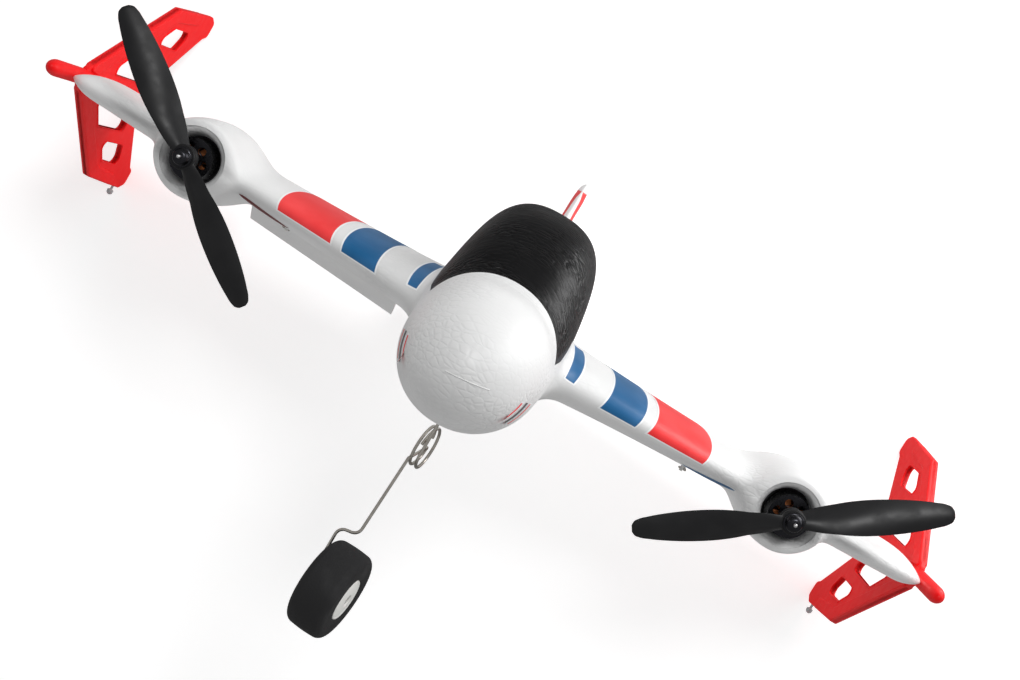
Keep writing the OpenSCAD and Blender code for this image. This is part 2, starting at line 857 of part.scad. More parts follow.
module shaft(side) {
    color(steel) at_motor(side) union() {
        translate([0, 0, -55.9]) cylinder(h = 37.3, r = shaft_r);
        translate([0, 0, -55.9]) sphere(r = shaft_r);
    }
}

hub_r = 6.2;
hub_h = 7;

// Rows: radius, chord, thickness.
blade_rows = [
    [4, 9.5, 3.4], [10, 12, 3.0], [20, 15.4, 2.3], [32, 17.2, 1.9], [46, 16.8, 1.5],
    [58, 14.8, 1.2], [68, 11.8, 1.0], [73, 9.6, 0.9], [75.4, 6.6, 0.8], [prop_r, 3.4, 0.6],
];

// One blade section: a cambered foil turned to its own pitch.
function blade_ring(row) =
    let (
        steps = 6,
        pitch = min(34, atan(prop_pitch / (2 * PI * row[0])))
    )
    [
        for (i = [0:2 * steps - 1])
            let (
                u = (1 - cos(180 * i / steps)) / 2,
                upper = i < steps,
                arch = 0.06 * row[1] * sin(180 * u),
                half = i % steps == 0 ? 0 : row[2] * 0.5 * sin(180 * pow(u, 0.8)),
                q = (0.5 - u) * row[1],
                p = arch + (upper ? half : -half) + row[2] * 0.1
            )
            [row[0], q * cos(pitch) - p * sin(pitch), -q * sin(pitch) - p * cos(pitch)]
    ];

module propeller(side, angle) {
    mid = prop_face - hub_h / 2;
    color([0.06, 0.06, 0.065]) at_motor(side) rotate(-angle) difference() {
        union() {
            translate([0, 0, prop_face - hub_h]) cylinder(h = hub_h, r = hub_r);
            for (k = [0, 180]) rotate(k) translate([0, 0, mid]) loft([for (r = blade_rows) blade_ring(r)]);
        }
        translate([0, 0, prop_face - hub_h - 1]) cylinder(h = hub_h + 2, r = shaft_r + eps);
    }
}

module prop_nut(side) {
    nut_y = prop_face - hub_h;
    color([0.12, 0.12, 0.13]) at_motor(side) difference() {
        union() {
            translate([0, 0, nut_y - 1.6]) cylinder(h = 1.6, r = 5);
            translate([0, 0, nut_y - 5.2]) cylinder(h = 3.6 + eps, r1 = 2.6, r2 = 4.6);
        }
        translate([0, 0, nut_y - 6]) cylinder(h = 8, r = shaft_r + eps);
    }
}

// ---------- nose gear ----------

gear_x = 1;
block_w = 16;
gear_screw_r = 0.9;
coil_r = 10.25;
coil_pitch = -1.75;
coil_wire_r = wire_r - 0.02;
coil_z = -57;
coil_y = coil_r;
block_top = -24;
block_low = -35;
leg_x = 2 * coil_pitch;
last_turn_start = 200;
jog_z = -106.5;
leg_low_x = -5.6;
jog_x = -15.2;
wheel_x = -4;
face_x = wheel_x + tyre_w / 2;
axle_end = face_x - 0.4;
collar_w = 2.5;
hub_in_r = 10.5;

// Placed at the leg socket, turned with the leg.
module at_gear() {
    translate([gear_x, gear_y, 0]) rotate([0, 0, gear_yaw]) children();
}

// Point on the spring coil after phi degrees of winding.
function coil_point(phi) = [
    coil_pitch * phi / 360, coil_y - coil_r * cos(phi), coil_z - coil_r * sin(phi)
];

// Wire wound from phi0 to phi1 degrees.
module coil_wire(phi0, phi1) {
    count = round((phi1 - phi0) / 18);
    rings = [
        for (i = [0:count])
            let (phi = phi0 + (phi1 - phi0) * i / count, c = coil_point(phi))
            [for (a = [0:45:315]) c + coil_wire_r * [cos(a), sin(a) * cos(phi), sin(a) * sin(phi)]]
    ];
    loft(rings);
}

module gear_block() {
    color([0.85, 0.85, 0.83]) difference() {
        translate([gear_x, gear_y, block_low]) round_box(block_w, block_w, block_top - block_low, 2);
        translate([gear_x, gear_y, block_low - 1]) cylinder(h = 20, r = wire_r + 0.03);
        gear_screws(gear_screw_r + eps);
    }
}

// Two corner screws through the block into the foam, with heads when wanted.
module gear_screws(r, heads = false) {
    for (s = [-1, 1]) translate([gear_x + s * 5.5, gear_y + s * 5.5, 0]) {
        translate([0, 0, block_low - 3.5]) cylinder(h = block_top - block_low + 3.5 + seam, r = r);
        if (heads) translate([0, 0, block_top + seam / 2]) cylinder(h = 1.2, r = 1.7);
    }
}

module gear_block_screws() {
    color(steel) gear_screws(gear_screw_r, true);
}

// Upper wire and the turn of the spring that stays with the socket.
module gear_spring() {
    color(steel) at_gear() union() {
        rod([0, 0, coil_z], [0, 0, block_top + 3], wire_r);
        coil_wire(0, 355);
    }
}

// Last turn of the spring, the lower leg and the axle.
module gear_leg() {
    color(steel) at_gear() union() {
        translate([leg_x, coil_y, coil_z]) along_x() rotate([0, 0, last_turn_start])
            rotate_extrude(angle = 540 - last_turn_start) translate([coil_r, 0]) circle(r = wire_r);
        translate([leg_x, 0, coil_z]) sphere(r = wire_r + corner_swell);
        bent_wire([
            [leg_x, 0, coil_z], [leg_low_x, 0, jog_z], [jog_x, 0, jog_z - 2],
            [jog_x, 0, axle_z], [axle_end, 0, axle_z],
        ], wire_r);
    }
}

module wheel_collar() {
    color(steel) at_gear() translate([axle_end - collar_w, 0, axle_z]) along_span() difference() {
        cylinder(h = collar_w, r = 2.2);
        translate([0, 0, -1]) cylinder(h = 5, r = wire_r + eps);
    }
}

// Placed at the wheel centre, local z along the axle.
module at_wheel() {
    at_gear() translate([wheel_x, 0, axle_z]) along_span() children();
}

module wheel_hub() {
    w = tyre_w - 0.4;
    color([0.93, 0.93, 0.92]) at_wheel() difference() {
        translate([0, 0, -w / 2]) cylinder(h = w, r = hub_in_r);
        translate([0, 0, -w / 2 - 1]) difference() {
            cylinder(h = 3, r = 8.8);
            translate([0, 0, -1]) cylinder(h = 5, r = 2.6);
        }
        translate([0, 0, face_x - wheel_x - collar_w - 0.9]) cylinder(h = 5, r = 2.8);
        translate([0, 0, -20]) cylinder(h = 40, r = wire_r + run_gap);
    }
}

module tyre() {
    round_r = 4;
    half = tyre_w / 2;
    core = [tyre_r - round_r, half - round_r];
    color([0.10, 0.10, 0.10]) at_wheel() rotate_extrude() polygon(concat(
        [[hub_in_r + eps, 1 - half], [hub_in_r + 2, -half]],
        [for (a = [-90:15:0]) [core[0] + round_r * cos(a), round_r * sin(a) - core[1]]],
        [for (a = [0:15:90]) core + round_r * [cos(a), sin(a)]],
        [[hub_in_r + 2, half], [hub_in_r + eps, half - 1]]
    ));
}

// ---------- nodes ----------

// Everything above is drawn about the wing chord; the row stands on z = 0, centred in X and Y.
row_mid_y = (body_stations[0] + feet_y) / 2;
row_low_z = axle_z - tyre_r;

translate([0, -row_mid_y, -row_low_z]) {
    fuselage_upper();
    fuselage_lower();
    wing(1);  // wing_left
    wing(-1);  // wing_right
    wing_spar();
    tail_fin();
    tip_fin(1);  // tip_fin_left
    tip_fin(-1);  // tip_fin_right
    fin_skids();
    canopy();
    hatch_magnets();
    canopy_magnets();
    battery_tray();
    battery();
    battery_strap();
    battery_lead();
    flight_controller();
    speed_controllers();
    motor_leads();
    hinge_pins();
    elevon(1, 0);  // elevon_left
    elevon(-1, right_droop);  // elevon_right
    control_horn(1, 0);  // control_horn_left
    control_horn(-1, right_droop);  // control_horn_right
    servo(1);  // servo_left
    servo(-1);  // servo_right
    servo_arm(1, 0);  // servo_arm_left
    servo_arm(-1, right_droop);  // servo_arm_right
    pushrod(1, 0);  // pushrod_left
    pushrod(-1, right_droop);  // pushrod_right
    motor_mount(1);  // motor_mount_left
    motor_mount(-1);  // motor_mount_right
    mount_screws();
    motor_base(1);  // motor_base_left
    motor_base(-1);  // motor_base_right
    stator(1);  // stator_left
    stator(-1);  // stator_right
    windings(1);  // windings_left
    windings(-1);  // windings_right
    bearings();
    bell(1);  // bell_left
    bell(-1);  // bell_right
    rotor_magnets(1);  // rotor_magnets_left
    rotor_magnets(-1);  // rotor_magnets_right
    shaft(1);  // shaft_left
    shaft(-1);  // shaft_right
    propeller(1, left_prop_angle);  // propeller_left
    propeller(-1, right_prop_angle);  // propeller_right
    prop_nut(1);  // prop_nut_left
    prop_nut(-1);  // prop_nut_right
    gear_block();
    gear_block_screws();
    gear_spring();
    gear_leg();
    wheel_collar();
    wheel_hub();
    tyre();
}
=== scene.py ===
"""Looks of a tail-sitting foam model aeroplane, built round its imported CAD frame.

Shapes are drawn in millimetres about the wing chord, as the CAD is, and `placed` puts them in the row frame.
"""

import math

import bmesh
import bpy
import numpy as np
from mathutils import Matrix, Vector


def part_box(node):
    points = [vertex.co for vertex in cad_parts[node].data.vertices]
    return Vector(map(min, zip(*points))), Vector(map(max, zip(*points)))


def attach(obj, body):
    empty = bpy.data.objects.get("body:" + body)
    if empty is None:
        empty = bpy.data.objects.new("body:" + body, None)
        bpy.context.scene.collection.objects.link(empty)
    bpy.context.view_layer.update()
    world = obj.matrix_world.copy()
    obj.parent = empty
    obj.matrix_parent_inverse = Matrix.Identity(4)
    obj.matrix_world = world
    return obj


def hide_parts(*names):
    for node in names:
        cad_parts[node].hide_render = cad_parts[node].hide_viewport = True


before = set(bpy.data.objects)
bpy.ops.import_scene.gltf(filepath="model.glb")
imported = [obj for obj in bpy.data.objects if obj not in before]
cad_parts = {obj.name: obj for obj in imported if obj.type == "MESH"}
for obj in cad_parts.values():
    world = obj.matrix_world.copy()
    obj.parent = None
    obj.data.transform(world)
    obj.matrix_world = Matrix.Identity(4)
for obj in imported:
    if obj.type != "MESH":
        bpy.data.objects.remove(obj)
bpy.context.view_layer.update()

MM = 0.001
SPAR_Y = 5
SIDES = (("left", 1), ("right", -1))


def chord_origin():
    """Row-frame place of the point that the shapes are drawn about."""
    low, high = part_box("wing_spar")
    return np.array((Vector(low) + Vector(high)) / 2) - np.array([0, SPAR_Y * MM, 0])


ORIGIN = chord_origin()


def placed(points):
    """Points in millimetres about the wing chord, as row-frame metres."""
    return np.asarray(points, float) * MM + ORIGIN


def smoothed(mesh, angle):
    """Smooth shading, kept sharp at edges steeper than the angle in degrees."""
    mesh.shade_smooth()
    mesh.set_sharp_from_angle(angle=math.radians(angle))


def paint(mesh, surface):
    """Gives a mesh one material in place of all it has."""
    mesh.materials.clear()
    mesh.materials.append(surface)


def add_object(name, data, surface=None):
    """Object in the scene for a mesh, curve, light or camera."""
    obj = bpy.data.objects.new(name, data)
    bpy.context.scene.collection.objects.link(obj)
    if surface:
        paint(data, surface)
    return obj


def mesh_object(name, points, faces, surface=None, angle=35):
    mesh = bpy.data.meshes.new(name)
    mesh.from_pydata(placed(points).tolist(), [], faces)
    mesh.validate()
    smoothed(mesh, angle)
    return add_object(name, mesh, surface)


def piece(obj, body, slot, *nodes):
    """Hangs a finished piece on the body it rides on and hides the CAD nodes it stands for. The slot
    argument is not used.
    """
    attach(obj, body)
    if nodes:
        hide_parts(*nodes)
    return obj


def evaluated_mesh(obj):
    """New mesh of an object with its modifiers or curve worked out."""
    graph = bpy.context.evaluated_depsgraph_get()
    return bpy.data.meshes.new_from_object(obj.evaluated_get(graph), depsgraph=graph)


def boolean(obj, cutter, operation="DIFFERENCE"):
    """Applies a boolean and removes the cutter."""
    step = obj.modifiers.new("cut", "BOOLEAN")
    step.operation = operation
    step.solver = "MANIFOLD"
    step.object = cutter
    mesh = evaluated_mesh(obj)
    obj.modifiers.clear()
    obj.data = mesh
    bpy.data.objects.remove(cutter, do_unlink=True)
    return obj


def joined(name, objs):
    """One object made of several, with their materials."""
    with bpy.context.temp_override(
        active_object=objs[0], selected_editable_objects=objs, selected_objects=objs
    ):
        bpy.ops.object.join()
    objs[0].name = name
    objs[0].data.name = name
    return objs[0]


# ---------- shape helpers ----------


def eased(count):
    """Steps from 0 to 1 that crowd together at both ends."""
    return (1 - np.cos(np.linspace(0, math.pi, count))) / 2


def ring_faces(rows, count):
    """Faces of a closed loft of `rows` rings with `count` points each."""
    faces = []
    for i in range(rows - 1):
        for j in range(count):
            k = (j + 1) % count
            faces.append((i * count + j, i * count + k, (i + 1) * count + k, (i + 1) * count + j))
    faces.append(tuple(range(count))[::-1])
    faces.append(tuple((rows - 1) * count + j for j in range(count)))
    return faces


def loft(name, rings, surface=None, angle=35):
    rings = np.asarray(rings, float)
    rows, count = rings.shape[:2]
    return mesh_object(name, rings.reshape(-1, 3), ring_faces(rows, count), surface, angle)


def outward(obj):
    """Turns all faces outward."""
    work = bmesh.new()
    work.from_mesh(obj.data)
    bmesh.ops.recalc_face_normals(work, faces=work.faces)
    work.to_mesh(obj.data)
    work.free()
    return obj


def revolve(name, profile, centre, axis="Y", surface=None, angle=30, steps=64, move=None):
    """Closed profile of (radius, distance along the axis), turned about an axis through the centre."""
    profile = np.asarray(profile, float)
    turns = np.linspace(0, 2 * math.pi, steps, endpoint=False)
    r, t = profile[:, 0][:, None], profile[:, 1][:, None]
    u, v, w = r * np.cos(turns), r * np.sin(turns), t + 0 * turns
    order = {"X": (w, u, v), "Y": (u, w, v)}[axis]
    points = np.stack(order, axis=-1).reshape(-1, 3) + np.asarray(centre, float)
    if move:
        points = move(points)
    return outward(mesh_object(name, points, ring_faces(len(profile), steps), surface, angle))


def tube_rings(path, radius, sides):
    """Rings of a round tube swept along a path, without twist."""
    path = np.asarray(path, float)
    ahead = np.gradient(path, axis=0)
    ahead /= np.linalg.norm(ahead, axis=1)[:, None]
    side = np.cross(ahead[0], [0.3, 0.2, 0.9])
    rings = []
    angles = np.linspace(0, 2 * math.pi, sides, endpoint=False)
    for point, forward in zip(path, ahead):
        side = side - forward * (side @ forward)
        side /= np.linalg.norm(side)
        up = np.cross(forward, side)
        rings.append(point + radius * (np.cos(angles)[:, None] * side + np.sin(angles)[:, None] * up))
    return rings


def tube(name, path, radius, surface, sides=16):
    return outward(loft(name, tube_rings(path, radius, sides), surface, 50))


def corner_arc(before, corner, after, radius, share, steps):
    """Points of an arc that rounds one corner and takes up no more than a share of each side."""
    u, v = before - corner, after - corner
    lu, lv = np.linalg.norm(u), np.linalg.norm(v)
    u, v = u / lu, v / lv
    half = math.acos(np.clip(u @ v, -1, 1)) / 2
    reach = min(radius / math.tan(half), share * lu, share * lv)
    size = reach * math.tan(half)
    centre = corner + (u + v) / np.linalg.norm(u + v) * size / math.sin(half)
    start, end = corner + u * reach - centre, corner + v * reach - centre
    turn = math.pi - 2 * half
    arc = []
    for s in (k / steps for k in range(steps + 1)):
        swing = math.sin((1 - s) * turn) * start + math.sin(s * turn) * end
        arc.append(centre + swing / math.sin(turn))
    return arc


def rounded_path(points, radius):
    """A polyline with its corners turned into arcs."""
    points = [np.asarray(p, float) for p in points]
    path = [points[0]]
    for before, corner, after in zip(points, points[1:], points[2:]):
        path += corner_arc(before, corner, after, radius, 0.48, 8)
    return dense(path + [points[-1]])


def dense(path, gap=6.0):
    """The same path with long runs divided, so that a sweep stays even."""
    out = [path[0]]
    for a, b in zip(path, path[1:]):
        count = max(1, int(np.linalg.norm(np.asarray(b) - a) / gap))
        out += [a + (np.asarray(b) - a) * k / count for k in range(1, count + 1)]
    return out


def rounded(points, radius):
    """Corner points of a flat outline with each corner turned into an arc."""
    points = [np.asarray(p, float) for p in points]
    out = []
    for before, corner, after in zip(points[-1:] + points, points, points[1:] + points[:1]):
        out += corner_arc(before, corner, after, radius, 0.45, 6)
    return out


def plate(name, outlines, thickness, x_mid, edge, surface=None):
    """Flat plate on a plane of constant X, from outlines of (Y, Z), with rounded edges."""
    curve = bpy.data.curves.new(name, "CURVE")
    curve.dimensions = "2D"
    curve.fill_mode = "BOTH"
    curve.extrude = thickness / 2 - edge
    curve.bevel_depth = edge
    curve.bevel_resolution = 3
    curve.offset = -edge
    for outline in outlines:
        spline = curve.splines.new("POLY")
        spline.points.add(len(outline) - 1)
        for point, (y, z) in zip(spline.points, outline):
            point.co = (y, z, 0, 1)
        spline.use_cyclic_u = True
    shape = add_object(name, curve)
    mesh = evaluated_mesh(shape)
    bpy.data.objects.remove(shape, do_unlink=True)
    flat = np.array([vertex.co for vertex in mesh.vertices])
    points = np.stack([flat[:, 2] + x_mid, flat[:, 0], flat[:, 1]], axis=1)
    mesh.vertices.foreach_set("co", placed(points).ravel())
    smoothed(mesh, 30)
    return add_object(name, mesh, surface)


def span_loft(name, sections):
    """Closed solid through flat outlines of (Y, Z), each given with its X."""
    return outward(loft(name, [[(x, y, z) for y, z in outline] for x, outline in sections]))


def prism(name, outline, x_half=60.0):
    """Flat outline of (Y, Z) drawn out along X, as a cutter."""
    return span_loft(name, [(-x_half, outline), (x_half, outline)])


def block(name, low, high):
    """Plain box, only ever used as a cutter."""
    (x0, y0, z0), (x1, y1, z1) = low, high
    outline = [(y0, z0), (y1, z0), (y1, z1), (y0, z1)]
    return span_loft(name, [(x0, outline), (x1, outline)])


# ---------- materials ----------


class Graph:
    """A material's node tree, with short calls for the nodes used here."""

    def __init__(self, name):
        self.material = bpy.data.materials.new(name)
        self.material.use_nodes = True
        self.tree = self.material.node_tree
        self.shader = self.tree.nodes["Principled BSDF"]
        self.place = self.node("ShaderNodeTexCoord").outputs["Object"]

    def node(self, kind, inputs=None, **settings):
        made = self.tree.nodes.new(kind)
        for key, value in settings.items():
            setattr(made, key, value)
        for key, value in (inputs or {}).items():
            self.feed(made.inputs[key], value)
        return made

    def feed(self, socket, value):
        """Links or sets one input; a colour may be given as three numbers."""
        if isinstance(value, bpy.types.NodeSocket):
            self.tree.links.new(value, socket)
        elif socket.type == "RGBA":
            socket.default_value = (*value, 1.0)
        else:
            socket.default_value = value

    def math(self, operation, a, b=0.0):
        return self.node("ShaderNodeMath", {0: a, 1: b}, operation=operation).outputs[0]

    def times(self, a, b):
        return self.math("MULTIPLY", a, b)

    def axis(self, index):
        """One coordinate, in metres."""
        return self.node("ShaderNodeSeparateXYZ", {0: self.place}).outputs[index]

    def drawn(self, index):
        """One coordinate in millimetres about the wing chord."""
        return self.math("DIVIDE", self.math("SUBTRACT", self.axis(index), float(ORIGIN[index])), MM)

    def scaled(self, x, y, z):
        return self.node("ShaderNodeMapping", {"Vector": self.place, "Scale": (x, y, z)}).outputs[0]

    def noise(self, scale, detail=3.0, place=None, output="Fac"):
        inputs = {"Vector": place or self.place, "Scale": scale, "Detail": detail}
        return self.node("ShaderNodeTexNoise", inputs).outputs[output]

    def cells(self, scale, place=None, feature="DISTANCE_TO_EDGE"):
        inputs = {"Vector": place or self.place, "Scale": scale}
        return self.node("ShaderNodeTexVoronoi", inputs, feature=feature).outputs["Distance"]

    def vector(self, operation, inputs):
        return self.node("ShaderNodeVectorMath", inputs, operation=operation).outputs[0]

    def warped(self, amount, scale, base=None):
        """Object coordinates pushed about by noise, so that a pattern isn't regular."""
        centred = self.vector("SUBTRACT", {0: self.noise(scale, 2.0, output="Color"), 1: (0.5, 0.5, 0.5)})
        sized = self.vector("SCALE", {0: centred, "Scale": amount})
        return self.vector("ADD", {0: base or self.place, 1: sized})

    def span(self, value, low, high, out_low=0.0, out_high=1.0):
        """A value mapped from one range to another, with a smooth clamp."""
        inputs = {"Value": value, "From Min": low, "From Max": high, "To Min": out_low, "To Max": out_high}
        return self.node("ShaderNodeMapRange", inputs, interpolation_type="SMOOTHSTEP").outputs["Result"]

    def blend(self, factor, a, b):
        made = self.node("ShaderNodeMix", data_type="RGBA")
        self.feed(made.inputs[0], factor)
        self.feed(made.inputs[6], a)
        self.feed(made.inputs[7], b)
        return made.outputs[2]

    def bump(self, height, depth_mm, strength=1.0, normal=None):
        inputs = {"Height": height, "Distance": depth_mm * MM, "Strength": strength}
        if normal is not None:
            inputs["Normal"] = normal
        return self.node("ShaderNodeBump", inputs).outputs[0]

    def set(self, **values):
        for key, value in values.items():
            self.feed(self.shader.inputs[key.replace("_", " ")], value)
        return self.material


def foam_material(name, light, dark, roughness, stretch, bead, depth, shade, specular):
    """Moulded bead foam: overlapping scale-like cells, pressed flat in some places and open in others, with
    painted shade darkening the open seams between the cells.
    """
    g = Graph(name)
    place = g.warped(0.0045, 70.0, g.scaled(*stretch))
    pillow = g.span(g.cells(1000 / bead, place), 0.0, 0.22)
    scale = g.cells(1000 / bead, place, "F1")
    patch = g.span(g.noise(24.0, 2.0), 0.40, 0.66)
    # Painted shade: the colour is darkened in the open seams between the cells, more in some patches than in
    # others, by up to `shade`.
    seam_shade = g.times(g.math("SUBTRACT", 1.0, pillow), g.span(patch, 0.0, 1.0, 0.05, shade))
    colour = g.blend(seam_shade, light, dark)
    lifted = g.math("ADD", pillow, g.times(scale, -0.5))
    height = g.times(lifted, g.span(patch, 0.0, 1.0, 0.2, 1.0))
    relief = g.bump(g.noise(1500.0, 2.0), 0.02, 0.6, g.bump(height, depth))
    gloss = g.span(g.noise(40.0, 3.0), 0.3, 0.7, roughness - 0.07, roughness + 0.09)
    return g.set(Base_Color=colour, Roughness=gloss, Specular_IOR_Level=specular, Normal=relief)


def plastic_material(name, colour, roughness, grain=900.0, depth=0.015, wear=0.12, **extra):
    """Moulded plastic: slight orange peel, uneven gloss and a little colour drift."""
    g = Graph(name)
    drift = g.span(g.noise(60.0, 3.0), 0.35, 0.7, 0.0, wear)
    pale = tuple(min(1.0, c * 1.25 + 0.012) for c in colour)
    tone = g.blend(drift, colour, pale)
    gloss = g.span(g.noise(130.0, 4.0), 0.3, 0.7, roughness - 0.05, roughness + 0.07)
    return g.set(Base_Color=tone, Roughness=gloss, Normal=g.bump(g.noise(grain, 3.0), depth), **extra)


def metal_material(name, colour, roughness, stretch=(1.0, 1.0, 1.0), depth=0.01, scratch=1200.0):
    """Bare or plated metal with fine drawn lines and uneven polish."""
    g = Graph(name)
    lines = g.noise(scratch, 3.0, g.scaled(*stretch))
    dull = g.span(g.noise(180.0, 3.0), 0.4, 0.7, 0.0, 0.5)
    tone = g.blend(dull, colour, tuple(c * 0.72 for c in colour))
    gloss = g.span(lines, 0.3, 0.7, roughness - 0.06, roughness + 0.1)
    return g.set(Base_Color=tone, Metallic=1.0, Roughness=gloss, Normal=g.bump(lines, depth))


WHITE_FOAM = foam_material(
    "white_foam", light=(0.80, 0.802, 0.80), dark=(0.70, 0.705, 0.71), roughness=0.46,
    stretch=(0.75, 1.0, 1.35), bead=3.9, depth=0.11, shade=0.22, specular=0.42,
)
BLACK_FOAM = foam_material(
    "black_foam", light=(0.004, 0.004, 0.0045), dark=(0.0015, 0.0015, 0.0015), roughness=0.34,
    stretch=(0.5, 2.1, 0.8), bead=4.2, depth=0.30, shade=0.8, specular=0.2,
)
FIN_RED = plastic_material("fin_red", (0.93, 0.004, 0.006), 0.42, wear=0.05, Specular_IOR_Level=0.22)
PROP_BLACK = plastic_material(
    "prop_black", (0.009, 0.009, 0.010), 0.42, 1400.0, 0.012, 0.3, Specular_IOR_Level=0.3
)
PART_BLACK = plastic_material("part_black", (0.018, 0.018, 0.020), 0.5)
NYLON = plastic_material("white_nylon", (0.80, 0.80, 0.77), 0.42)
WRAP_BLUE = plastic_material("battery_wrap", (0.02, 0.06, 0.30), 0.2, 70.0, 0.25, Coat_Weight=0.5)
NICKEL_WIRE = metal_material("nickel_wire", (0.70, 0.66, 0.60), 0.22)
STEEL = metal_material("bright_steel", (0.66, 0.66, 0.66), 0.28)
MAGNET = metal_material("magnet_plate", (0.74, 0.74, 0.76), 0.2)
ANODISED = metal_material("black_anodised", (0.035, 0.035, 0.04), 0.3)


def tyre_material():
    """Closed-cell foam rubber: dull, finely pitted, paler where it has scuffed."""
    g = Graph("tyre_foam")
    pits = g.cells(1100.0, feature="F1")
    scuff = g.span(g.noise(55.0, 5.0), 0.45, 0.72, 0.0, 0.6)
    tone = g.blend(scuff, (0.009, 0.009, 0.010), (0.030, 0.030, 0.031))
    rough = g.bump(pits, 0.12, 0.7)
    wavy = g.bump(g.noise(260.0, 4.0), 0.10, 0.6, rough)
    return g.set(Base_Color=tone, Roughness=0.82, Normal=wavy)


def copper_material():
    """Enamelled copper: lines of wound wire with a varnish coat."""
    g = Graph("copper_winding")
    tone = g.blend(g.noise(300.0, 2.0), (0.62, 0.22, 0.08), (0.38, 0.11, 0.035))
    return g.set(Base_Color=tone, Metallic=0.9, Roughness=0.3, Coat_Weight=0.5)


def wood_material():
    """Thin plywood with the grain along the body."""
    g = Graph("birch_ply")
    grain = g.noise(90.0, 5.0, g.scaled(9.0, 0.7, 3.0))
    tone = g.blend(grain, (0.62, 0.42, 0.22), (0.42, 0.25, 0.11))
    return g.set(Base_Color=tone, Roughness=0.6, Normal=g.bump(grain, 0.06))


def web_material():
    """Hook-and-loop webbing: a fine crossed weave."""
    g = Graph("webbing")
    warp, weft = (g.math("SINE", g.times(g.axis(k), 7000.0)) for k in (1, 0))
    height = g.times(warp, weft)
    return g.set(Base_Color=(0.015, 0.015, 0.016), Roughness=0.9, Normal=g.bump(height, 0.08))


def board_material():
    """Green circuit board with faint copper tracks under the lacquer."""
    g = Graph("circuit_board")
    tracks = g.span(g.cells(420.0), 0.02, 0.05)
    tone = g.blend(tracks, (0.05, 0.20, 0.07), (0.012, 0.09, 0.035))
    return g.set(Base_Color=tone, Roughness=0.28, Normal=g.bump(tracks, 0.03))


TYRE_FOAM = tyre_material()


def decal_material(name, colour, edge=0.9):
    """Printed film with a white edge: UV holds millimetres from the patch's nearest sides."""
    g = Graph(name)
    uv = g.node("ShaderNodeUVMap", uv_map="edge_mm").outputs[0]
    parts = g.node("ShaderNodeSeparateXYZ", {0: uv})
    near = g.math("MINIMUM", parts.outputs[0], parts.outputs[1])
    inside = g.span(near, edge - 0.12, edge + 0.12)
    pale = tuple(min(1.0, c * 1.2 + 0.03) for c in colour)
    ink = g.blend(g.span(g.noise(35.0, 3.0), 0.35, 0.7), colour, pale)
    tone = g.blend(inside, (0.92, 0.93, 0.94), ink)
    shine = g.bump(g.noise(700.0, 2.0), 0.015)
    return g.set(Base_Color=tone, Roughness=0.35, Specular_IOR_Level=0.3, Normal=shine)


DECAL_RED = decal_material("decal_red", (0.90, 0.030, 0.032))
DECAL_BLUE = decal_material("decal_blue", (0.008, 0.115, 0.29))
DECAL_GREY = decal_material("decal_grey", (0.10, 0.09, 0.10), 0.25)
DECAL_MAROON = decal_material("decal_maroon", (0.16, 0.006, 0.008), 0.35)

# ---------- foam shell as a smooth field ----------

HALF_SPAN, ROOT_X = 254, 36
ROOT_LE, ROOT_TE = -57, 130
LE_SLOPE, TE_SLOPE = 0.25, 0.119
THIN, ROOT_THICKER, ROOT_FADE = 0.12, 0.03, 40
FOIL_NOSE = 0.2969
EDGE_HALF, TIP_RUN = 0.75, 14
HINGE_Y, BAY_IN, BAY_OUT = 72, 59, 159
MOTOR_X, MOTOR_Z, LIP_Y = 168.6, -1.5, -31
BALL_Y, NOSE_Y, TAIL_Y = -100, -170, 186
PARTING_Z = -4
WALL = 6
ROOT_BLEND, ROOT_BLEND_TOP, BLEND_RISE, POD_BLEND = 13, 4, 14, 13
LIP_ROUND, TAIL_ROUND = 4.5, 3

# Rows: position, section centre height, half width, top, bottom, corner exponent, side taper.
BODY = np.array([
    [-100, -5.0, 33.4, 28.4, -38.0, 2.08, 0],
    [-90, -3.6, 34.3, 31.0, -39.2, 2.08, 0.01],
    [-70, 4.0, 35.6, 45.5, -40.4, 2.15, 0.03],
    [-45, 11.0, 36.2, 60.5, -40.3, 2.4, 0.05],
    [-15, 15.0, 36.4, 67.2, -39.0, 2.5, 0.05],
    [20, 14.0, 35.4, 64.0, -35.5, 2.5, 0.05],
    [60, 11.0, 31.0, 53.5, -29.0, 2.3, 0.04],
    [100, 8.0, 24.0, 40.5, -22.0, 2.1, 0.03],
    [140, 6.0, 16.0, 28.0, -15.0, 2.0, 0],
    [175, 4.0, 9.0, 17.5, -9.0, 2.0, 0],
    [TAIL_Y, 3.0, 6.0, 12.5, -6.5, 2.0, 0],
])
# Rows: distance along the motor axis, radius.
POD = np.array([
    [LIP_Y, 19.3], [-15, 20.9], [5, 21.5], [20, 21.2], [35, 19.6], [50, 16.4],
    [64, 12.0], [76, 6.8], [86, 0.4],
])


def table_at(table, y):
    """Smooth values of every column of a table at positions y."""
    start = table[:, 0]
    i = np.clip(np.searchsorted(start, y, side="right") - 1, 0, len(start) - 2)
    slope = np.gradient(table[:, 1:], start, axis=0)
    h = (start[i + 1] - start[i])[:, None]
    u = np.clip((y - start[i])[:, None] / h, 0, 1)
    return (
        (2 * u**3 - 3 * u**2 + 1) * table[i, 1:]
        + (u**3 - 2 * u**2 + u) * h * slope[i]
        + (3 * u**2 - 2 * u**3) * table[i + 1, 1:]
        + (u**3 - u**2) * h * slope[i + 1]
    )


def smooth_min(a, b, reach):
    return np.minimum(a, b) - np.maximum(reach - np.abs(a - b), 0) ** 2 / (4 * reach)


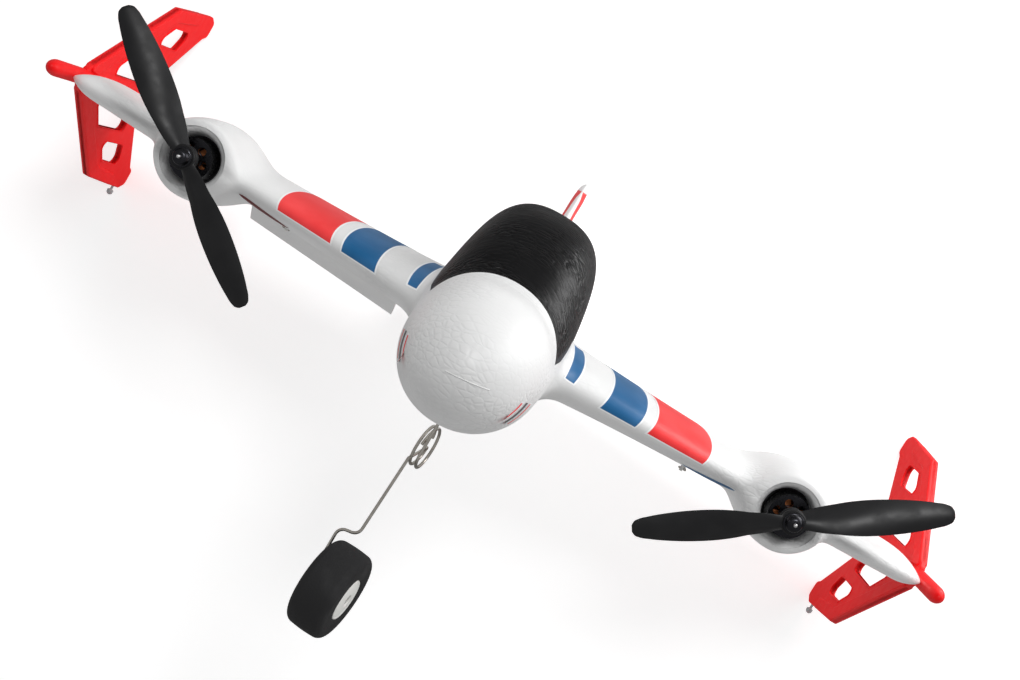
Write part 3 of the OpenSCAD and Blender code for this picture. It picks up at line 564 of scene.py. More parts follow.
def body_field(x, y, z):
    """Signed distance, near enough, to the body without its wing."""
    zc, half, top, low, power, taper = table_at(BODY, np.maximum(y, BALL_Y)).T
    ahead = np.maximum(BALL_Y - y, 0)
    rise = z - zc
    s = rise / np.where(rise > 0, top - zc, zc - low)
    pinch = 1 - taper * np.sin(math.pi * np.clip(s, 0, 1))
    section = (np.abs(x / (half * pinch)) ** power + np.abs(s) ** power) ** (1 / power)
    whole = np.sqrt(section**2 + (ahead / (BALL_Y - NOSE_Y)) ** 2)
    reach = np.sqrt(x**2 + rise**2 + ahead**2)
    shell = reach * (1 - 1 / np.maximum(whole, 0.05))
    return -smooth_min(-shell, -(y - TAIL_Y), TAIL_ROUND)


def wing_le(x):
    return ROOT_LE + LE_SLOPE * (np.maximum(x, ROOT_X) - ROOT_X)


def wing_te(x):
    return ROOT_TE - TE_SLOPE * (np.maximum(x, ROOT_X) - ROOT_X)


def wing_ratio(x):
    return THIN + ROOT_THICKER * np.exp(-(np.maximum(x, ROOT_X) - ROOT_X) / ROOT_FADE)


def foil_loss(v):
    """How far the section falls short of the parabola of its round nose."""
    return 0.1260 * v + 0.3516 * v**2 - 0.2843 * v**3 + 0.1036 * v**4


def foil(v):
    """Half thickness of a symmetrical four-digit section at a fraction of its chord."""
    return 5 * (FOIL_NOSE * np.sqrt(v) - foil_loss(v))


def wing_edges(x):
    """Leading edge, chord and size factor of the section at x, with the tip rounded."""
    fade = np.maximum(0, (x - (HALF_SPAN - TIP_RUN)) / TIP_RUN)
    k = np.maximum(0.12, np.sqrt(np.maximum(0, 1 - fade**2)))
    middle = (wing_le(x) + wing_te(x)) / 2
    le = middle - (middle - wing_le(x)) * (0.7 + 0.3 * k)
    te = middle + (wing_te(x) - middle) * (0.8 + 0.2 * k)
    return le, te - le, k


def wing_half(x, y):
    """Half thickness of the wing at a point of its plan."""
    le, chord, k = wing_edges(x)
    v = np.clip((y - le) / chord, 0, 1)
    return (foil(v) * wing_ratio(x) * chord + EDGE_HALF * v) * k


def wing_field(x, y, z):
    """Wing as a parabola bent to its section, which stays smooth round the leading edge."""
    le, chord, k = wing_edges(x)
    u = (y - le) / chord
    v = np.clip(u, 0, 1)
    size = 5 * wing_ratio(x) * chord
    nose = FOIL_NOSE * size
    loss_slope = 0.1260 + 0.7032 * v - 0.8529 * v**2 + 0.4144 * v**3
    reach = np.abs(z) / k - EDGE_HALF * v + size * foil_loss(v)
    value = (reach / nose) ** 2 * chord - (y - le)
    rise = 2 * reach / nose**2
    along = np.where((u > 0) & (u < 1), rise * (size * loss_slope - EDGE_HALF), 0) - 1
    skin = value / np.hypot(rise * chord / k, along)
    return np.maximum(np.maximum(skin, y - (le + chord)), x - HALF_SPAN)


def pod_field(x, y, z):
    r = np.hypot(x - MOTOR_X, z - MOTOR_Z)
    radius = table_at(POD, y)[:, 0]
    slope = (table_at(POD, y + 1)[:, 0] - table_at(POD, y - 1)[:, 0]) / 2
    side = (r - radius) / np.sqrt(1 + slope**2)
    behind = y - POD[-1, 0]
    return np.maximum(-smooth_min(-side, -(LIP_Y - y), LIP_ROUND), behind)


def shell_field(points):
    """Body, wing and nacelles run together with rounded inner corners."""
    x, y, z = np.abs(points[:, 0]), points[:, 1], points[:, 2]
    high = np.clip(z / BLEND_RISE, 0, 1)
    reach = ROOT_BLEND + (ROOT_BLEND_TOP - ROOT_BLEND) * high * high * (3 - 2 * high)
    flyer = smooth_min(body_field(x, y, z), wing_field(x, y, z), reach)
    return smooth_min(flyer, pod_field(x, y, z), POD_BLEND)


def slope_at(field, points, step=0.15):
    """Gradient of a field at points."""
    out = np.empty_like(points)
    for k in range(3):
        shift = np.zeros(3)
        shift[k] = step
        out[:, k] = (field(points + shift) - field(points - shift)) / (2 * step)
    return out


def settle(points, level=0.0, rounds=4):
    """Moves points along the shell field's slope until they lie at the given distance from the shell."""
    points = np.array(points, float)
    for _ in range(rounds):
        value = shell_field(points) - level
        slope = slope_at(shell_field, points)
        size = np.maximum((slope**2).sum(axis=1), 0.05)
        move = -(value / size)[:, None] * slope
        length = np.maximum(np.linalg.norm(move, axis=1), 1e-9)
        points += move * np.minimum(1, 1.2 / length)[:, None]
    return points


def grid_values(axes):
    """Shell field on a grid, one plane of constant X at a time."""
    y, z = np.meshgrid(axes[1], axes[2], indexing="ij")
    plane = np.stack([0 * y.ravel(), y.ravel(), z.ravel()], axis=1)
    values = np.empty([len(a) for a in axes], np.float32)
    for i, x in enumerate(axes[0]):
        plane[:, 0] = x
        values[i] = shell_field(plane).reshape(y.shape)
    return values


CORNERS = [(a, b, c) for a in (0, 1) for b in (0, 1) for c in (0, 1)]


def surface_net(axes):
    """Closed quad mesh round the region where the shell field is negative."""
    values = grid_values(axes)
    inside = values < 0
    cells = tuple(n - 1 for n in values.shape)
    count = sum(
        inside[a : a + cells[0], b : b + cells[1], c : c + cells[2]].astype(np.int8) for a, b, c in CORNERS
    )
    active = (count > 0) & (count < 8)
    index = np.full(cells, -1)
    index[active] = np.arange(active.sum())
    where = np.argwhere(active)
    total, hits = np.zeros((len(where), 3)), np.zeros(len(where))
    for a in CORNERS:
        for k in range(3):
            if a[k]:
                continue
            b = tuple(1 if j == k else a[j] for j in range(3))
            va = values[tuple((where + a).T)]
            vb = values[tuple((where + b).T)]
            cross = (va < 0) != (vb < 0)
            t = np.where(cross, va / np.where(cross, va - vb, 1), 0)
            point = (where + a).astype(float)
            point[:, k] += t
            total += point * cross[:, None]
            hits += cross
    grid = total / hits[:, None]
    points = np.stack([np.interp(grid[:, k], np.arange(len(axes[k])), axes[k]) for k in range(3)], axis=1)
    return points, net_faces(inside, index)


def net_faces(inside, index):
    faces = []
    for k in range(3):
        u, v = (k + 1) % 3, (k + 2) % 3
        ahead = np.roll(inside, -1, axis=k)
        change = inside != ahead
        cut = [slice(None)] * 3
        cut[k], cut[u], cut[v] = slice(0, -1), slice(1, -1), slice(1, -1)
        spots = np.argwhere(change[tuple(cut)])
        spots[:, u] += 1
        spots[:, v] += 1
        quad = []
        for du, dv in ((-1, -1), (0, -1), (0, 0), (-1, 0)):
            cell = spots.copy()
            cell[:, u] += du
            cell[:, v] += dv
            quad.append(index[tuple(cell.T)])
        quad = np.stack(quad, axis=1)
        keep = inside[tuple(spots.T)]
        faces.append(np.where(keep[:, None], quad, quad[:, ::-1]))
    return np.concatenate(faces)


def shell_axes():
    """Grid lines along X, Y and Z; a Z line lies in the chord plane so that the thin rear edge is caught."""
    return [
        np.arange(-258.4, 259, 1.6),
        np.arange(-174, 192, 1.6),
        np.arange(-44, 71.1, 1.1),
    ]


def shell_object():
    points, faces = surface_net(shell_axes())
    points = settle(points)
    return mesh_object("shell", points, faces.tolist(), WHITE_FOAM, 40)


# ---------- openings in the foam ----------

HATCH_FRONT, HATCH_REAR, HATCH_LOW, HATCH_TOP = -90, 75, 18, 95


def hatch_outline(gap):
    low = HATCH_LOW - gap
    front = HATCH_FRONT - gap
    rear = HATCH_REAR + gap
    lip = [(front, 8 - gap), (-77, 9.5 - gap), (-62, 14 - gap), (-50, low), (rear, low)]
    return lip + [(rear, HATCH_TOP), (front, HATCH_TOP)]


def body_section(y, inset, low, high, count=72):
    """Ring of the body surface at y, pulled in by the wall and kept between two heights."""
    zc, half, top, bottom, power, taper = table_at(BODY, np.array([float(y)]))[0]
    angle = 2 * math.pi * (np.arange(count) + 0.5) / count
    c, s = np.cos(angle), np.sin(angle)
    sx = np.sign(c) * np.abs(c) ** (2 / power)
    sz = np.sign(s) * np.abs(s) ** (2 / power)
    pinch = np.where(sz > 0, 1 - taper * np.sin(math.pi * sz), 1)
    reach = np.where(sz > 0, top - zc - inset, zc - bottom - inset)
    z = np.clip(zc + reach * sz, low, high)
    return np.stack([(half - inset) * sx * pinch, y + 0 * z, z], axis=1)


def hollow(name, front, rear, low, high):
    rings = [body_section(y, WALL, low, high) for y in np.linspace(front, rear, 24)]
    return outward(loft(name, rings))


def wing_block():
    """The wing's centre section, to be kept when the body is hollowed."""
    rings = []
    u = eased(40)
    le, chord = wing_edges(0 * u)[:2]
    y = le + u * chord
    half = wing_half(0 * y, y)
    for x in (-50.0, 50.0):
        top = np.stack([0 * y + x, y, half], axis=1)
        low = np.stack([0 * y + x, y, -half], axis=1)
        rings.append(np.concatenate([top, low[-2:0:-1]]))
    return outward(loft("wing_block", rings))


def hinge_radius(x):
    return float(wing_half(np.array([float(x)]), np.array([float(HINGE_Y)]))[0])


def hinge_arc(r, count):
    """Half circle of (Y, Z) round the front of the hinge line."""
    return [(HINGE_Y - r * math.sin(a), r * math.cos(a)) for a in np.linspace(0, math.pi, count)]


BAY_GAP, BAY_RUN, BAY_FLARE = 0.5, 60, 55
RELIEF_IN, RELIEF_R, RELIEF_TILT = 149, 6.3, math.radians(43)


def elevon_bay(side):
    """Round-nosed space that one elevon swings in, flared behind the hinge."""
    sections = []
    rear = HINGE_Y + BAY_RUN
    for x in (BAY_IN, BAY_OUT):
        r = hinge_radius(x) + BAY_GAP
        sections.append((side * x, hinge_arc(r, 24) + [(rear, -r - BAY_FLARE), (rear, r + BAY_FLARE)]))
    return span_loft("bay", sections)


def nacelle_relief(side):
    """Clears the nacelle's rear flank where the end of the elevon swings past it."""
    c, s = math.cos(RELIEF_TILT), math.sin(RELIEF_TILT)
    y, z = HINGE_Y - RELIEF_R * s, RELIEF_R * c
    rear, high = y + BAY_RUN * c, z + BAY_RUN * s
    outline = [(y, -z), (rear, -high), (rear, high), (y, z)]
    return span_loft("relief", [(side * x, outline) for x in (RELIEF_IN, BAY_OUT)])


# Rows: radius, distance behind the lip. The dish runs in to the motor's round pocket.
DISH = [
    (16.6, -9), (16.3, 0), (15.4, 0.5), (14.3, 1.3), (13.5, 2.4), (12.9, 4), (12.4, 6), (12.1, 8.5),
    (12.1, 16), (9, 16), (9, 26),
]


def pod_bore(side):
    """Dished motor opening."""
    profile = [(r, LIP_Y + depth) for r, depth in [(0.01, DISH[0][1])] + DISH + [(0.01, DISH[-1][1])]]
    return revolve("bore", profile, (side * MOTOR_X, 0, MOTOR_Z))


SERVO_Y, SERVO_X, SLOT_X = HINGE_Y - 50, (97.9, 117.1), (116, 125.5)
POCKET_TOP, POCKET_DEEP = 0.3, -30


def servo_pockets(side):
    """Pocket for the servo and slot for its linkage on the underside."""
    low, slot = sorted(side * x for x in SERVO_X), sorted(side * x for x in SLOT_X)
    return [
        block("pocket", (low[0], SERVO_Y - 7.1, POCKET_DEEP), (low[1], SERVO_Y + 14.1, POCKET_TOP)),
        block("slot", (slot[0], SERVO_Y - 13, POCKET_DEEP), (slot[1], HINGE_Y + 1, POCKET_TOP)),
    ]


# Front, rear, low and high ends of the hollows above and below the wing.
UPPER_BAY, LOWER_BAY = (-82, 66, 8, 200), (-92, 62, -200, PARTING_Z + 2)
HATCH_SHRINK, HATCH_ROOM = -0.12, 0.16


def foam_pieces():
    """The white foam shell and the black canopy, cut from one surface so that they meet."""
    shell = shell_object()
    hatch = add_object("hatch_part", shell.data.copy())
    boolean(hatch, prism("keep", hatch_outline(HATCH_SHRINK)), "INTERSECT")
    boolean(hatch, hollow("bay", *UPPER_BAY))
    cutters = [prism("drop", hatch_outline(HATCH_ROOM))]
    cutters += [boolean(hollow("hollow", *bay), wing_block()) for bay in (UPPER_BAY, LOWER_BAY)]
    for side in (-1, 1):
        cutters += [elevon_bay(side), nacelle_relief(side), pod_bore(side)] + servo_pockets(side)
    for cutter in cutters:
        boolean(shell, cutter)
    return shell, hatch


foam, canopy = foam_pieces()
foam.name = "foam_airframe"
canopy.name = "canopy_shell"
paint(canopy.data, BLACK_FOAM)
for obj in (foam, canopy):
    smoothed(obj.data, 32)
piece(foam, "airframe", "white_foam", "fuselage_upper", "fuselage_lower", "wing_left", "wing_right")
piece(canopy, "hatch", "black_foam", "canopy")


SEAM_X, SEAM_Z, SEAM_LEAN, SEAM_R = (-5.5, 13), -8.2, 0.1, 0.28


def nose_seam():
    """Short raised flash line left by the mould across the tip of the nose."""
    x = np.linspace(*SEAM_X, 40)
    z = SEAM_Z + SEAM_LEAN * x
    zc, half, low = BODY[0, 1], BODY[0, 2], BODY[0, 4]
    inside = 1 - (x / half) ** 2 - ((z - zc) / (zc - low)) ** 2
    y = BALL_Y + (NOSE_Y - BALL_Y) * np.sqrt(inside)
    path = settle(np.stack([x, y, z], axis=1), 0.05, 60)
    return tube("nose_flash", path, SEAM_R, WHITE_FOAM, 8)


piece(nose_seam(), "airframe", "white_foam")

# ---------- elevons ----------

RIGHT_DROOP, ELEVON_GAP, ELEVON_PINCH = 38, 0.7, 0.16


def tipped(points, droop):
    """Points turned trailing edge down about the hinge line."""
    hinge = (0, HINGE_Y, 0)
    turn = Matrix.Rotation(math.radians(-droop), 3, "X")
    return (points - hinge) @ np.array(turn).T + hinge


def elevon(name, side, droop):
    """Round-nosed control surface with a softened trailing edge."""
    rings = []
    for x in np.linspace(BAY_IN + ELEVON_GAP, BAY_OUT - ELEVON_GAP, 36):
        r = hinge_radius(x)
        end = float(wing_te(np.array([x]))[0])
        below = []
        for t in np.linspace(0, 1, 16)[1:]:
            half = r * (1 - t) * (1 - ELEVON_PINCH * math.sin(math.pi * t)) + EDGE_HALF * t
            below.append((HINGE_Y + (end - HINGE_Y) * t - EDGE_HALF * t, -half))
        above = [(y, -z) for y, z in reversed(below)]
        ring = hinge_arc(r, 18) + below + [(end, 0.0)] + above
        rings.append([(side * x, y, z) for y, z in ring])
    return outward(loft(name, tipped(np.array(rings), droop), WHITE_FOAM, 30))


piece(elevon("elevon_skin_left", 1, 0), "left_surface", "white_foam", "elevon_left")
piece(elevon("elevon_skin_right", -1, RIGHT_DROOP), "right_surface", "white_foam", "elevon_right")

# ---------- tip fins ----------

FIN_X, FIN_T, FIN_CORNER = 258, 3.2, 3.5
STRIP_T, RIM_T, RIM_W = FIN_T + 2, FIN_T + 0.7, 1.6
HALF_OUTLINE = [
    (30, 5), (115.5, 56.5), (160, 60.5), (179, 62), (187, 59), (187, 49), (180, 46.5), (149, 21), (135, 6),
]
WINDOWS = [
    [(124, 45), (154, 46.5), (144, 33), (106, 32.5)],
    [(63, 7), (88, 24.5), (134, 24.5), (117, 7)],
]
EDGE_STRIP = [(30, 5), (115.5, 56.5), (160, 60.5), (159, 53), (121, 48.5), (44, 3.5)]


def mirrored(outline):
    return [(y, -z) for y, z in reversed(outline)]


POD_R, POD_X = 4.4, FIN_X + 0.6
POD_TAIL = [(POD_R, 40), (4.1, 55), (3.6, 70), (2.9, 90), (2.2, 108), (1.2, 112)]


def tip_fin(name, side):
    """Red fin of one wing tip: web with four rimmed windows, two leading strips and the pod in front."""
    x = side * FIN_X
    outer = rounded(HALF_OUTLINE + mirrored(HALF_OUTLINE), FIN_CORNER)
    windows = [rounded(outline, FIN_CORNER) for w in WINDOWS for outline in (w, mirrored(w))]
    parts = [plate("web", [outer] + windows, FIN_T, x, 0.7, FIN_RED)]
    for strip in (EDGE_STRIP, mirrored(EDGE_STRIP)):
        parts.append(plate("strip", [rounded(strip, 3)], STRIP_T, x, 1.1, FIN_RED))
    for inner in windows:
        middle = np.mean(inner, axis=0)
        rim = [middle + (p - middle) * (1 + RIM_W / np.linalg.norm(p - middle)) for p in inner]
        parts.append(plate("rim", [rim, inner], RIM_T, x, 0.3, FIN_RED))
    nose = [(POD_R * math.sin(a), -4 - 9 * math.cos(a)) for a in np.linspace(0.03, math.pi / 2, 14)]
    parts.append(revolve("pod", nose + POD_TAIL, (side * POD_X, 0, 0), surface=FIN_RED))
    return joined(name, parts)


for name, side in SIDES:
    piece(tip_fin(f"tip_fin_skin_{name}", side), "airframe", "red_plastic", f"tip_fin_{name}")

# ---------- tail fin ----------

# Rows: height, leading edge, trailing edge, thickness.
TAIL_FIN = np.array([
    [12, 99, 180, 7], [30, 101, 180, 7], [50, 108, 184, 7], [70, 125, 186, 7], [84, 137, 186.5, 6.6],
    [89, 143, 186, 5.2], [91.4, 150, 184, 2.4],
])
# Red stripes: millimetres behind the raked leading edge, and the heights they stay between.
STRIPES, STRIPE_LOW, STRIPE_HIGH = [(0.45, 11.0), (15.0, 19.0)], 46, 86.5
RAKE, RAKE_Y, RAKE_Z = 0.667, 101, 30
NOSE_RUN, REAR_HALF, REAR_TAPER = 9, 0.14, 2.4


def tail_fin():
    heights = np.concatenate([np.linspace(12, 84, 26), [86, 88, 89.5, 90.6, 91.2, 91.4]])
    u = eased(20)
    rings = []
    for z in heights:
        le, te, thick = table_at(TAIL_FIN, np.array([z]))[0]
        y = le + u * (te - le)
        nose = np.sqrt(np.minimum((y - le) / NOSE_RUN, 1))
        half = thick / 2 * np.minimum(nose, REAR_HALF + REAR_TAPER * (1 - u))
        right = np.stack([half, y, 0 * y + z], axis=1)
        left = np.stack([-half, y, 0 * y + z], axis=1)
        rings.append(np.concatenate([left, right[::-1][1:-1]]))
    return outward(loft("tail_fin_skin", rings, tail_fin_material(), 50))


def tail_fin_material():
    """White foam with red side stripes that follow the raked leading edge."""
    g = Graph("tail_fin_foam")
    y, z = g.drawn(1), g.drawn(2)
    rake = g.times(g.math("SUBTRACT", z, RAKE_Z), RAKE)
    behind = g.math("SUBTRACT", g.math("SUBTRACT", y, RAKE_Y), rake)
    first, second = (
        g.times(g.span(behind, a, a + 0.3), g.span(behind, b, b - 0.3)) for a, b in STRIPES
    )
    above, below = g.span(z, STRIPE_LOW, STRIPE_LOW + 0.5), g.span(z, STRIPE_HIGH, STRIPE_HIGH - 1)
    mask = g.times(g.math("ADD", first, second), g.times(above, below))
    tone = g.blend(mask, (0.86, 0.862, 0.858), (0.88, 0.05, 0.05))
    pillow = g.span(g.cells(300.0, g.warped(0.003, 90.0)), 0.0, 0.16)
    return g.set(Base_Color=tone, Roughness=0.42, Normal=g.bump(pillow, 0.08))


piece(tail_fin(), "airframe", "white_foam", "tail_fin")

# ---------- decals ----------


def side_distance(grid, axis):
    """Millimetres from each grid point to the nearer end of its row or column."""
    steps = np.linalg.norm(np.diff(grid, axis=axis), axis=2)
    start = np.zeros_like(np.take(steps, [0], axis=axis))
    run = np.concatenate([start, np.cumsum(steps, axis=axis)], axis=axis)
    whole = np.take(run, [-1], axis=axis)
    return np.minimum(run, whole - run)


def patch(name, surface, corner_points):
    """Film laid just above the shell, with the distance to its sides in millimetres as UV."""
    rows, cols = corner_points.shape[:2]
    points = settle(corner_points.reshape(-1, 3), 0.09)
    faces = [
        (i * cols + j, i * cols + j + 1, (i + 1) * cols + j + 1, (i + 1) * cols + j)
        for i in range(rows - 1)
        for j in range(cols - 1)
    ]
    obj = mesh_object(name, points, faces, surface, 60)
    grid = points.reshape(rows, cols, 3)
    side, end = side_distance(grid, 0), side_distance(grid, 1)
    layer = obj.data.uv_layers.new(name="edge_mm")
    values = np.stack([side.ravel(), end.ravel()], axis=1)
    loops = np.empty(len(obj.data.loops), int)
    obj.data.loops.foreach_get("vertex_index", loops)
    layer.data.foreach_set("uv", values[loops].ravel())
    return obj


def wing_band(surface, side, inner, outer, start, end, bow):
    """Band across one wing, from `start` to `end` of the chord, with bowed ends."""
    s = np.linspace(0, 1, 56)
    depth = np.linspace(math.copysign(math.sqrt(abs(start)), start), math.sqrt(end), len(s))
    u = depth * np.abs(depth)
    rows = []
    for r in np.linspace(0, 1, 24):
        x = inner + (outer - inner) * r + bow * (4 * s * (1 - s)) - bow * 0.8 * s
        le, chord = wing_edges(x)[:2]
        y = le + np.abs(u) * chord
        rows.append(np.stack([side * x, y, wing_half(x, y) * np.sign(u)], axis=1))
    return patch("band", surface, np.array(rows))


SLIVER_X, SLIVER_LONG = 112, 30


def sliver(surface, side):
    """Slender pointed mark just under the leading edge, beside the nacelle."""
    r = np.linspace(0, 1, 30)[:, None]
    s = np.linspace(0, 1, 8)[None, :]
    x = SLIVER_X + SLIVER_LONG * r + 0 * s
    le, chord = wing_edges(x)[:2]
    width = 0.004 + 0.085 * np.sin(math.pi * r) ** 0.8
    y = le + (0.022 + 0.05 * (1 - r) + width * s) * chord
    return patch("sliver", surface, np.stack([side * x, y, -wing_half(x, y)], axis=-1))


BAR_Y, BAR_STEP, BAR_WIDE, BAR_LEAN = -147, 7.0, 4.2, 4
BAR_X, BAR_Z, BAR_TALL = 29, -22, 15


def nose_bars(side):
    """Plain slanted bars on one side of the nose."""
    bars = []
    u, v = np.meshgrid(np.linspace(0, 1, 12), np.linspace(0, 1, 5), indexing="ij")
    for k, surface in enumerate((DECAL_RED, DECAL_GREY, DECAL_RED)):
        y = BAR_Y + BAR_STEP * k + BAR_WIDE * v + BAR_LEAN * u
        corners = np.stack([side * BAR_X + 0 * u, y, BAR_Z + BAR_TALL * u], axis=-1)
        bars.append(patch("bar", surface, corners))
    return joined("nose_bars", bars)


# Rows: name, film, inner and outer edge, start and end along the chord, bow of the ends.
BANDS = [
    ("outer", DECAL_RED, 87, 120, -0.004, 0.62, 3.5),
    ("middle", DECAL_BLUE, 61, 82, -0.005, 0.62, 3.5),
    ("root", DECAL_BLUE, 38, 46, 0.001, 0.3, 2.0),
]

for name, side in SIDES:
    bars = nose_bars(side)
    bars.name = f"nose_bars_{name}"
    piece(bars, "airframe", "red_plastic")
    marks = [(label, wing_band(surface, side, *shape)) for label, surface, *shape in BANDS]
    marks.append(("under", sliver(DECAL_MAROON if side < 0 else DECAL_BLUE, side)))
    for label, mark in marks:
        mark.name = f"band_{label}_{name}"
        piece(mark, "airframe", "red_plastic" if label == "outer" else "battery_wrap")

# ---------- propellers ----------

PROP_R, PROP_FACE, HUB_H, HUB_R = 76.2, -42.5, 7, 6.2
LEFT_ANGLE, RIGHT_ANGLE = 33.9, 38.4
PITCH = 90
# Rows: radius, chord, thickness.
BLADE = np.array([
    [3, 9.2, 3.8], [7, 10.4, 3.5], [10, 12.0, 3.0], [20, 15.4, 2.3], [32, 17.2, 1.9], [46, 16.8, 1.5],
    [58, 14.8, 1.2], [68, 11.8, 1.0], [73, 9.4, 0.9], [75.3, 6.6, 0.8], [PROP_R, 3.4, 0.5],
])
BLADE_REACH = np.concatenate([np.linspace(3, 68, 34), np.linspace(69, 74.5, 8), [75.2, 75.7, 76.0, PROP_R]])
STEEPEST = math.radians(34)


def blade_rings():
    """Sections of one blade along +X, with the disc axis along Z."""
    rings = []
    u = eased(18)
    for radius in BLADE_REACH:
        chord, thick = table_at(BLADE, np.array([radius]))[0]
        pitch = min(STEEPEST, math.atan(PITCH / (2 * math.pi * radius)))
        arch = 0.06 * chord * np.sin(math.pi * u) + thick * 0.1
        half = thick * 0.5 * np.sin(math.pi * u**0.8)
        q = (0.5 - u) * chord
        top, low = np.stack([q, arch + half], axis=1), np.stack([q, arch - half], axis=1)
        across, up = np.concatenate([top, low[-2:0:-1]]).T
        c, s = math.cos(pitch), math.sin(pitch)
        rings.append(np.stack([0 * up + radius, across * c - up * s, -across * s - up * c], axis=1))
    return np.asarray(rings)


def on_motor(rings, side, angle):
    """Rings about a motor axis along Z, turned by the rest angle and laid along +Y at one motor."""
    a = math.radians(-angle)
    x, y, z = np.moveaxis(rings, -1, 0)
    across = x * math.cos(a) - y * math.sin(a)
    up = x * math.sin(a) + y * math.cos(a)
    return np.stack([side * (MOTOR_X + across), z, MOTOR_Z - up], axis=-1)


def motor_revolve(name, profile, side, surface, angle=30):
    """Profile of (radius, distance along the shaft) turned about one motor's shaft."""
    return revolve(name, profile, (side * MOTOR_X, 0, MOTOR_Z), "Y", surface, angle)


def propeller(name, side, angle):
    middle = np.array([0, 0, PROP_FACE - HUB_H / 2])
    blade = blade_rings()
    parts = []
    for rings in (blade, blade * np.array([-1, -1, 1])):
        parts.append(outward(loft("blade", on_motor(rings + middle, side, angle), PROP_BLACK, 40)))
    back, front = PROP_FACE, PROP_FACE - HUB_H
    groove = HUB_R - 0.35
    hub = [
        (0.02, back), (HUB_R - 0.5, back), (HUB_R, back - 0.5), (HUB_R, back - 2.6), (groove, back - 3.0),
        (groove, back - 4.2), (HUB_R, back - 4.6), (HUB_R, front + 0.6), (HUB_R - 0.6, front),
        (4.3, front), (4.2, front + 0.35), (0.02, front + 0.35),
    ]
    parts.append(motor_revolve("hub", hub, side, PROP_BLACK))
    return joined(name, parts)


# Rows: radius, distance ahead of the hub. A flange, then a dome.
NUT = [
    (0.02, 0), (4.9, 0), (5.05, 0.3), (5.0, 1.3), (4.7, 1.6), (4.3, 1.75), (4.15, 2.6), (3.8, 3.7),
    (3.2, 4.6), (2.4, 5.1), (1.4, 5.25), (0.02, 5.0),
]


def prop_nut(name, side):
    profile = [(r, PROP_FACE - HUB_H - ahead) for r, ahead in NUT]
    return motor_revolve(name, profile, side, ANODISED, 35)


for name, side, angle in (("left", 1, LEFT_ANGLE), ("right", -1, RIGHT_ANGLE)):
    piece(propeller(f"prop_{name}", side, angle), f"{name}_rotor", "prop_plastic", f"propeller_{name}")
    piece(prop_nut(f"spinner_nut_{name}", side), f"{name}_rotor", "motor_black", f"prop_nut_{name}")

# ---------- nose gear ----------

GEAR = np.array([1.0, -80.0, 0.0])
GEAR_YAW = math.radians(-12)
WIRE_R, BEND_R, SOCKET_Z = 0.75, 4.5, -21.0
COIL_R, COIL_PITCH, COIL_Z = 10.25, -1.75, -57
LEG_X, LEG_LOW_X, JOG_Z, JOG_X = -3.5, -5.6, -106.5, -15.2
AXLE_Z, WHEEL_X = -135, -4
TYRE_R, TYRE_W, HUB_IN_R = 22, 19.5, 10.5
AXLE_END = WHEEL_X + TYRE_W / 2 - 0.4


def at_gear(points):
    """Points of the nose leg's own frame, turned and moved to its socket."""
    c, s = math.cos(GEAR_YAW), math.sin(GEAR_YAW)
    turn = np.array([[c, -s, 0], [s, c, 0], [0, 0, 1]])
    return np.asarray(points, float) @ turn.T + GEAR


def coil(start, end, pitch=COIL_PITCH, offset=0.0):
    phi = np.radians(np.arange(start, end + 1, 10))
    x = pitch * phi / (2 * math.pi) + offset
    return np.stack([x, COIL_R - COIL_R * np.cos(phi), COIL_Z - COIL_R * np.sin(phi)], axis=1)


def gear_wires():
    stem = dense([np.array([0, 0, SOCKET_Z]), np.array([0, 0, COIL_Z + 0.5])])
    upper = np.concatenate([stem, coil(0, 355)])
    corners = [(LEG_X, COIL_Z), (LEG_LOW_X, JOG_Z), (JOG_X, JOG_Z - 2), (JOG_X, AXLE_Z), (AXLE_END, AXLE_Z)]
    lower = rounded_path([(x, 0, z) for x, z in corners], BEND_R)
    leg = np.concatenate([coil(200, 530, 0.0, LEG_X), lower[1:]])
    return [
        tube(name, at_gear(path), WIRE_R, NICKEL_WIRE)
        for name, path in (("nose_spring", upper), ("nose_leg_wire", leg))
    ]


spring, leg = gear_wires()
piece(spring, "airframe", "wire", "gear_spring")
piece(leg, "nose_leg", "wire", "gear_leg")


def wheel_part(name, profile, surface):
    """Profile of (radius, distance along the axle) turned about the axle."""
    return revolve(name, profile, (WHEEL_X, 0, AXLE_Z), "X", surface, 30, 96, at_gear)


def tyre():
    half, soft = TYRE_W / 2, 4.0
    r, side = TYRE_R - soft, half - soft
    turns = np.radians(np.linspace(0, 90, 14))
    right = [(r + soft * math.cos(a), side + soft * math.sin(a)) for a in turns]
    left = [(radius, -x) for radius, x in reversed(right)]
    crown = [(TYRE_R + 0.25 * math.cos(t * math.pi / 2), t * side) for t in np.linspace(-0.9, 0.9, 9)]
    inner = HUB_IN_R + 0.02
    bead = [(inner + 1.6, half), (inner + 0.6, half - 0.3), (inner, half - 1)]
    profile = [(radius, -x) for radius, x in reversed(bead)] + left + crown + right + bead
    return wheel_part("tyre_foam_ring", profile, TYRE_FOAM)


def wheel_hub():
    """White wheel centre: dished on its back, nearly flush on its face."""
    half = TYRE_W / 2
    back = [
        (1.0, 0.2), (2.5, 0.2), (2.6, 0.5), (2.7, 3.2), (8.6, 3.2), (8.9, 0.6), (9.3, 0.2),
        (HUB_IN_R - 0.3, 0.2), (HUB_IN_R, 0.5),
    ]
    front = [
        (HUB_IN_R, -0.7), (HUB_IN_R - 0.3, -0.25), (9.6, -0.1), (9.2, -0.35), (8.6, -0.2), (5.0, 0.15),
        (3.2, 0.2), (2.9, -0.1), (2.8, -3.2), (1.0, -3.2),
    ]
    profile = [(r, x - half) for r, x in back] + [(r, x + half) for r, x in front]
    return wheel_part("wheel_centre", profile, NYLON)


piece(tyre(), "nose_wheel", "tyre_foam", "tyre")
piece(wheel_hub(), "nose_wheel", "white_plastic", "wheel_hub")

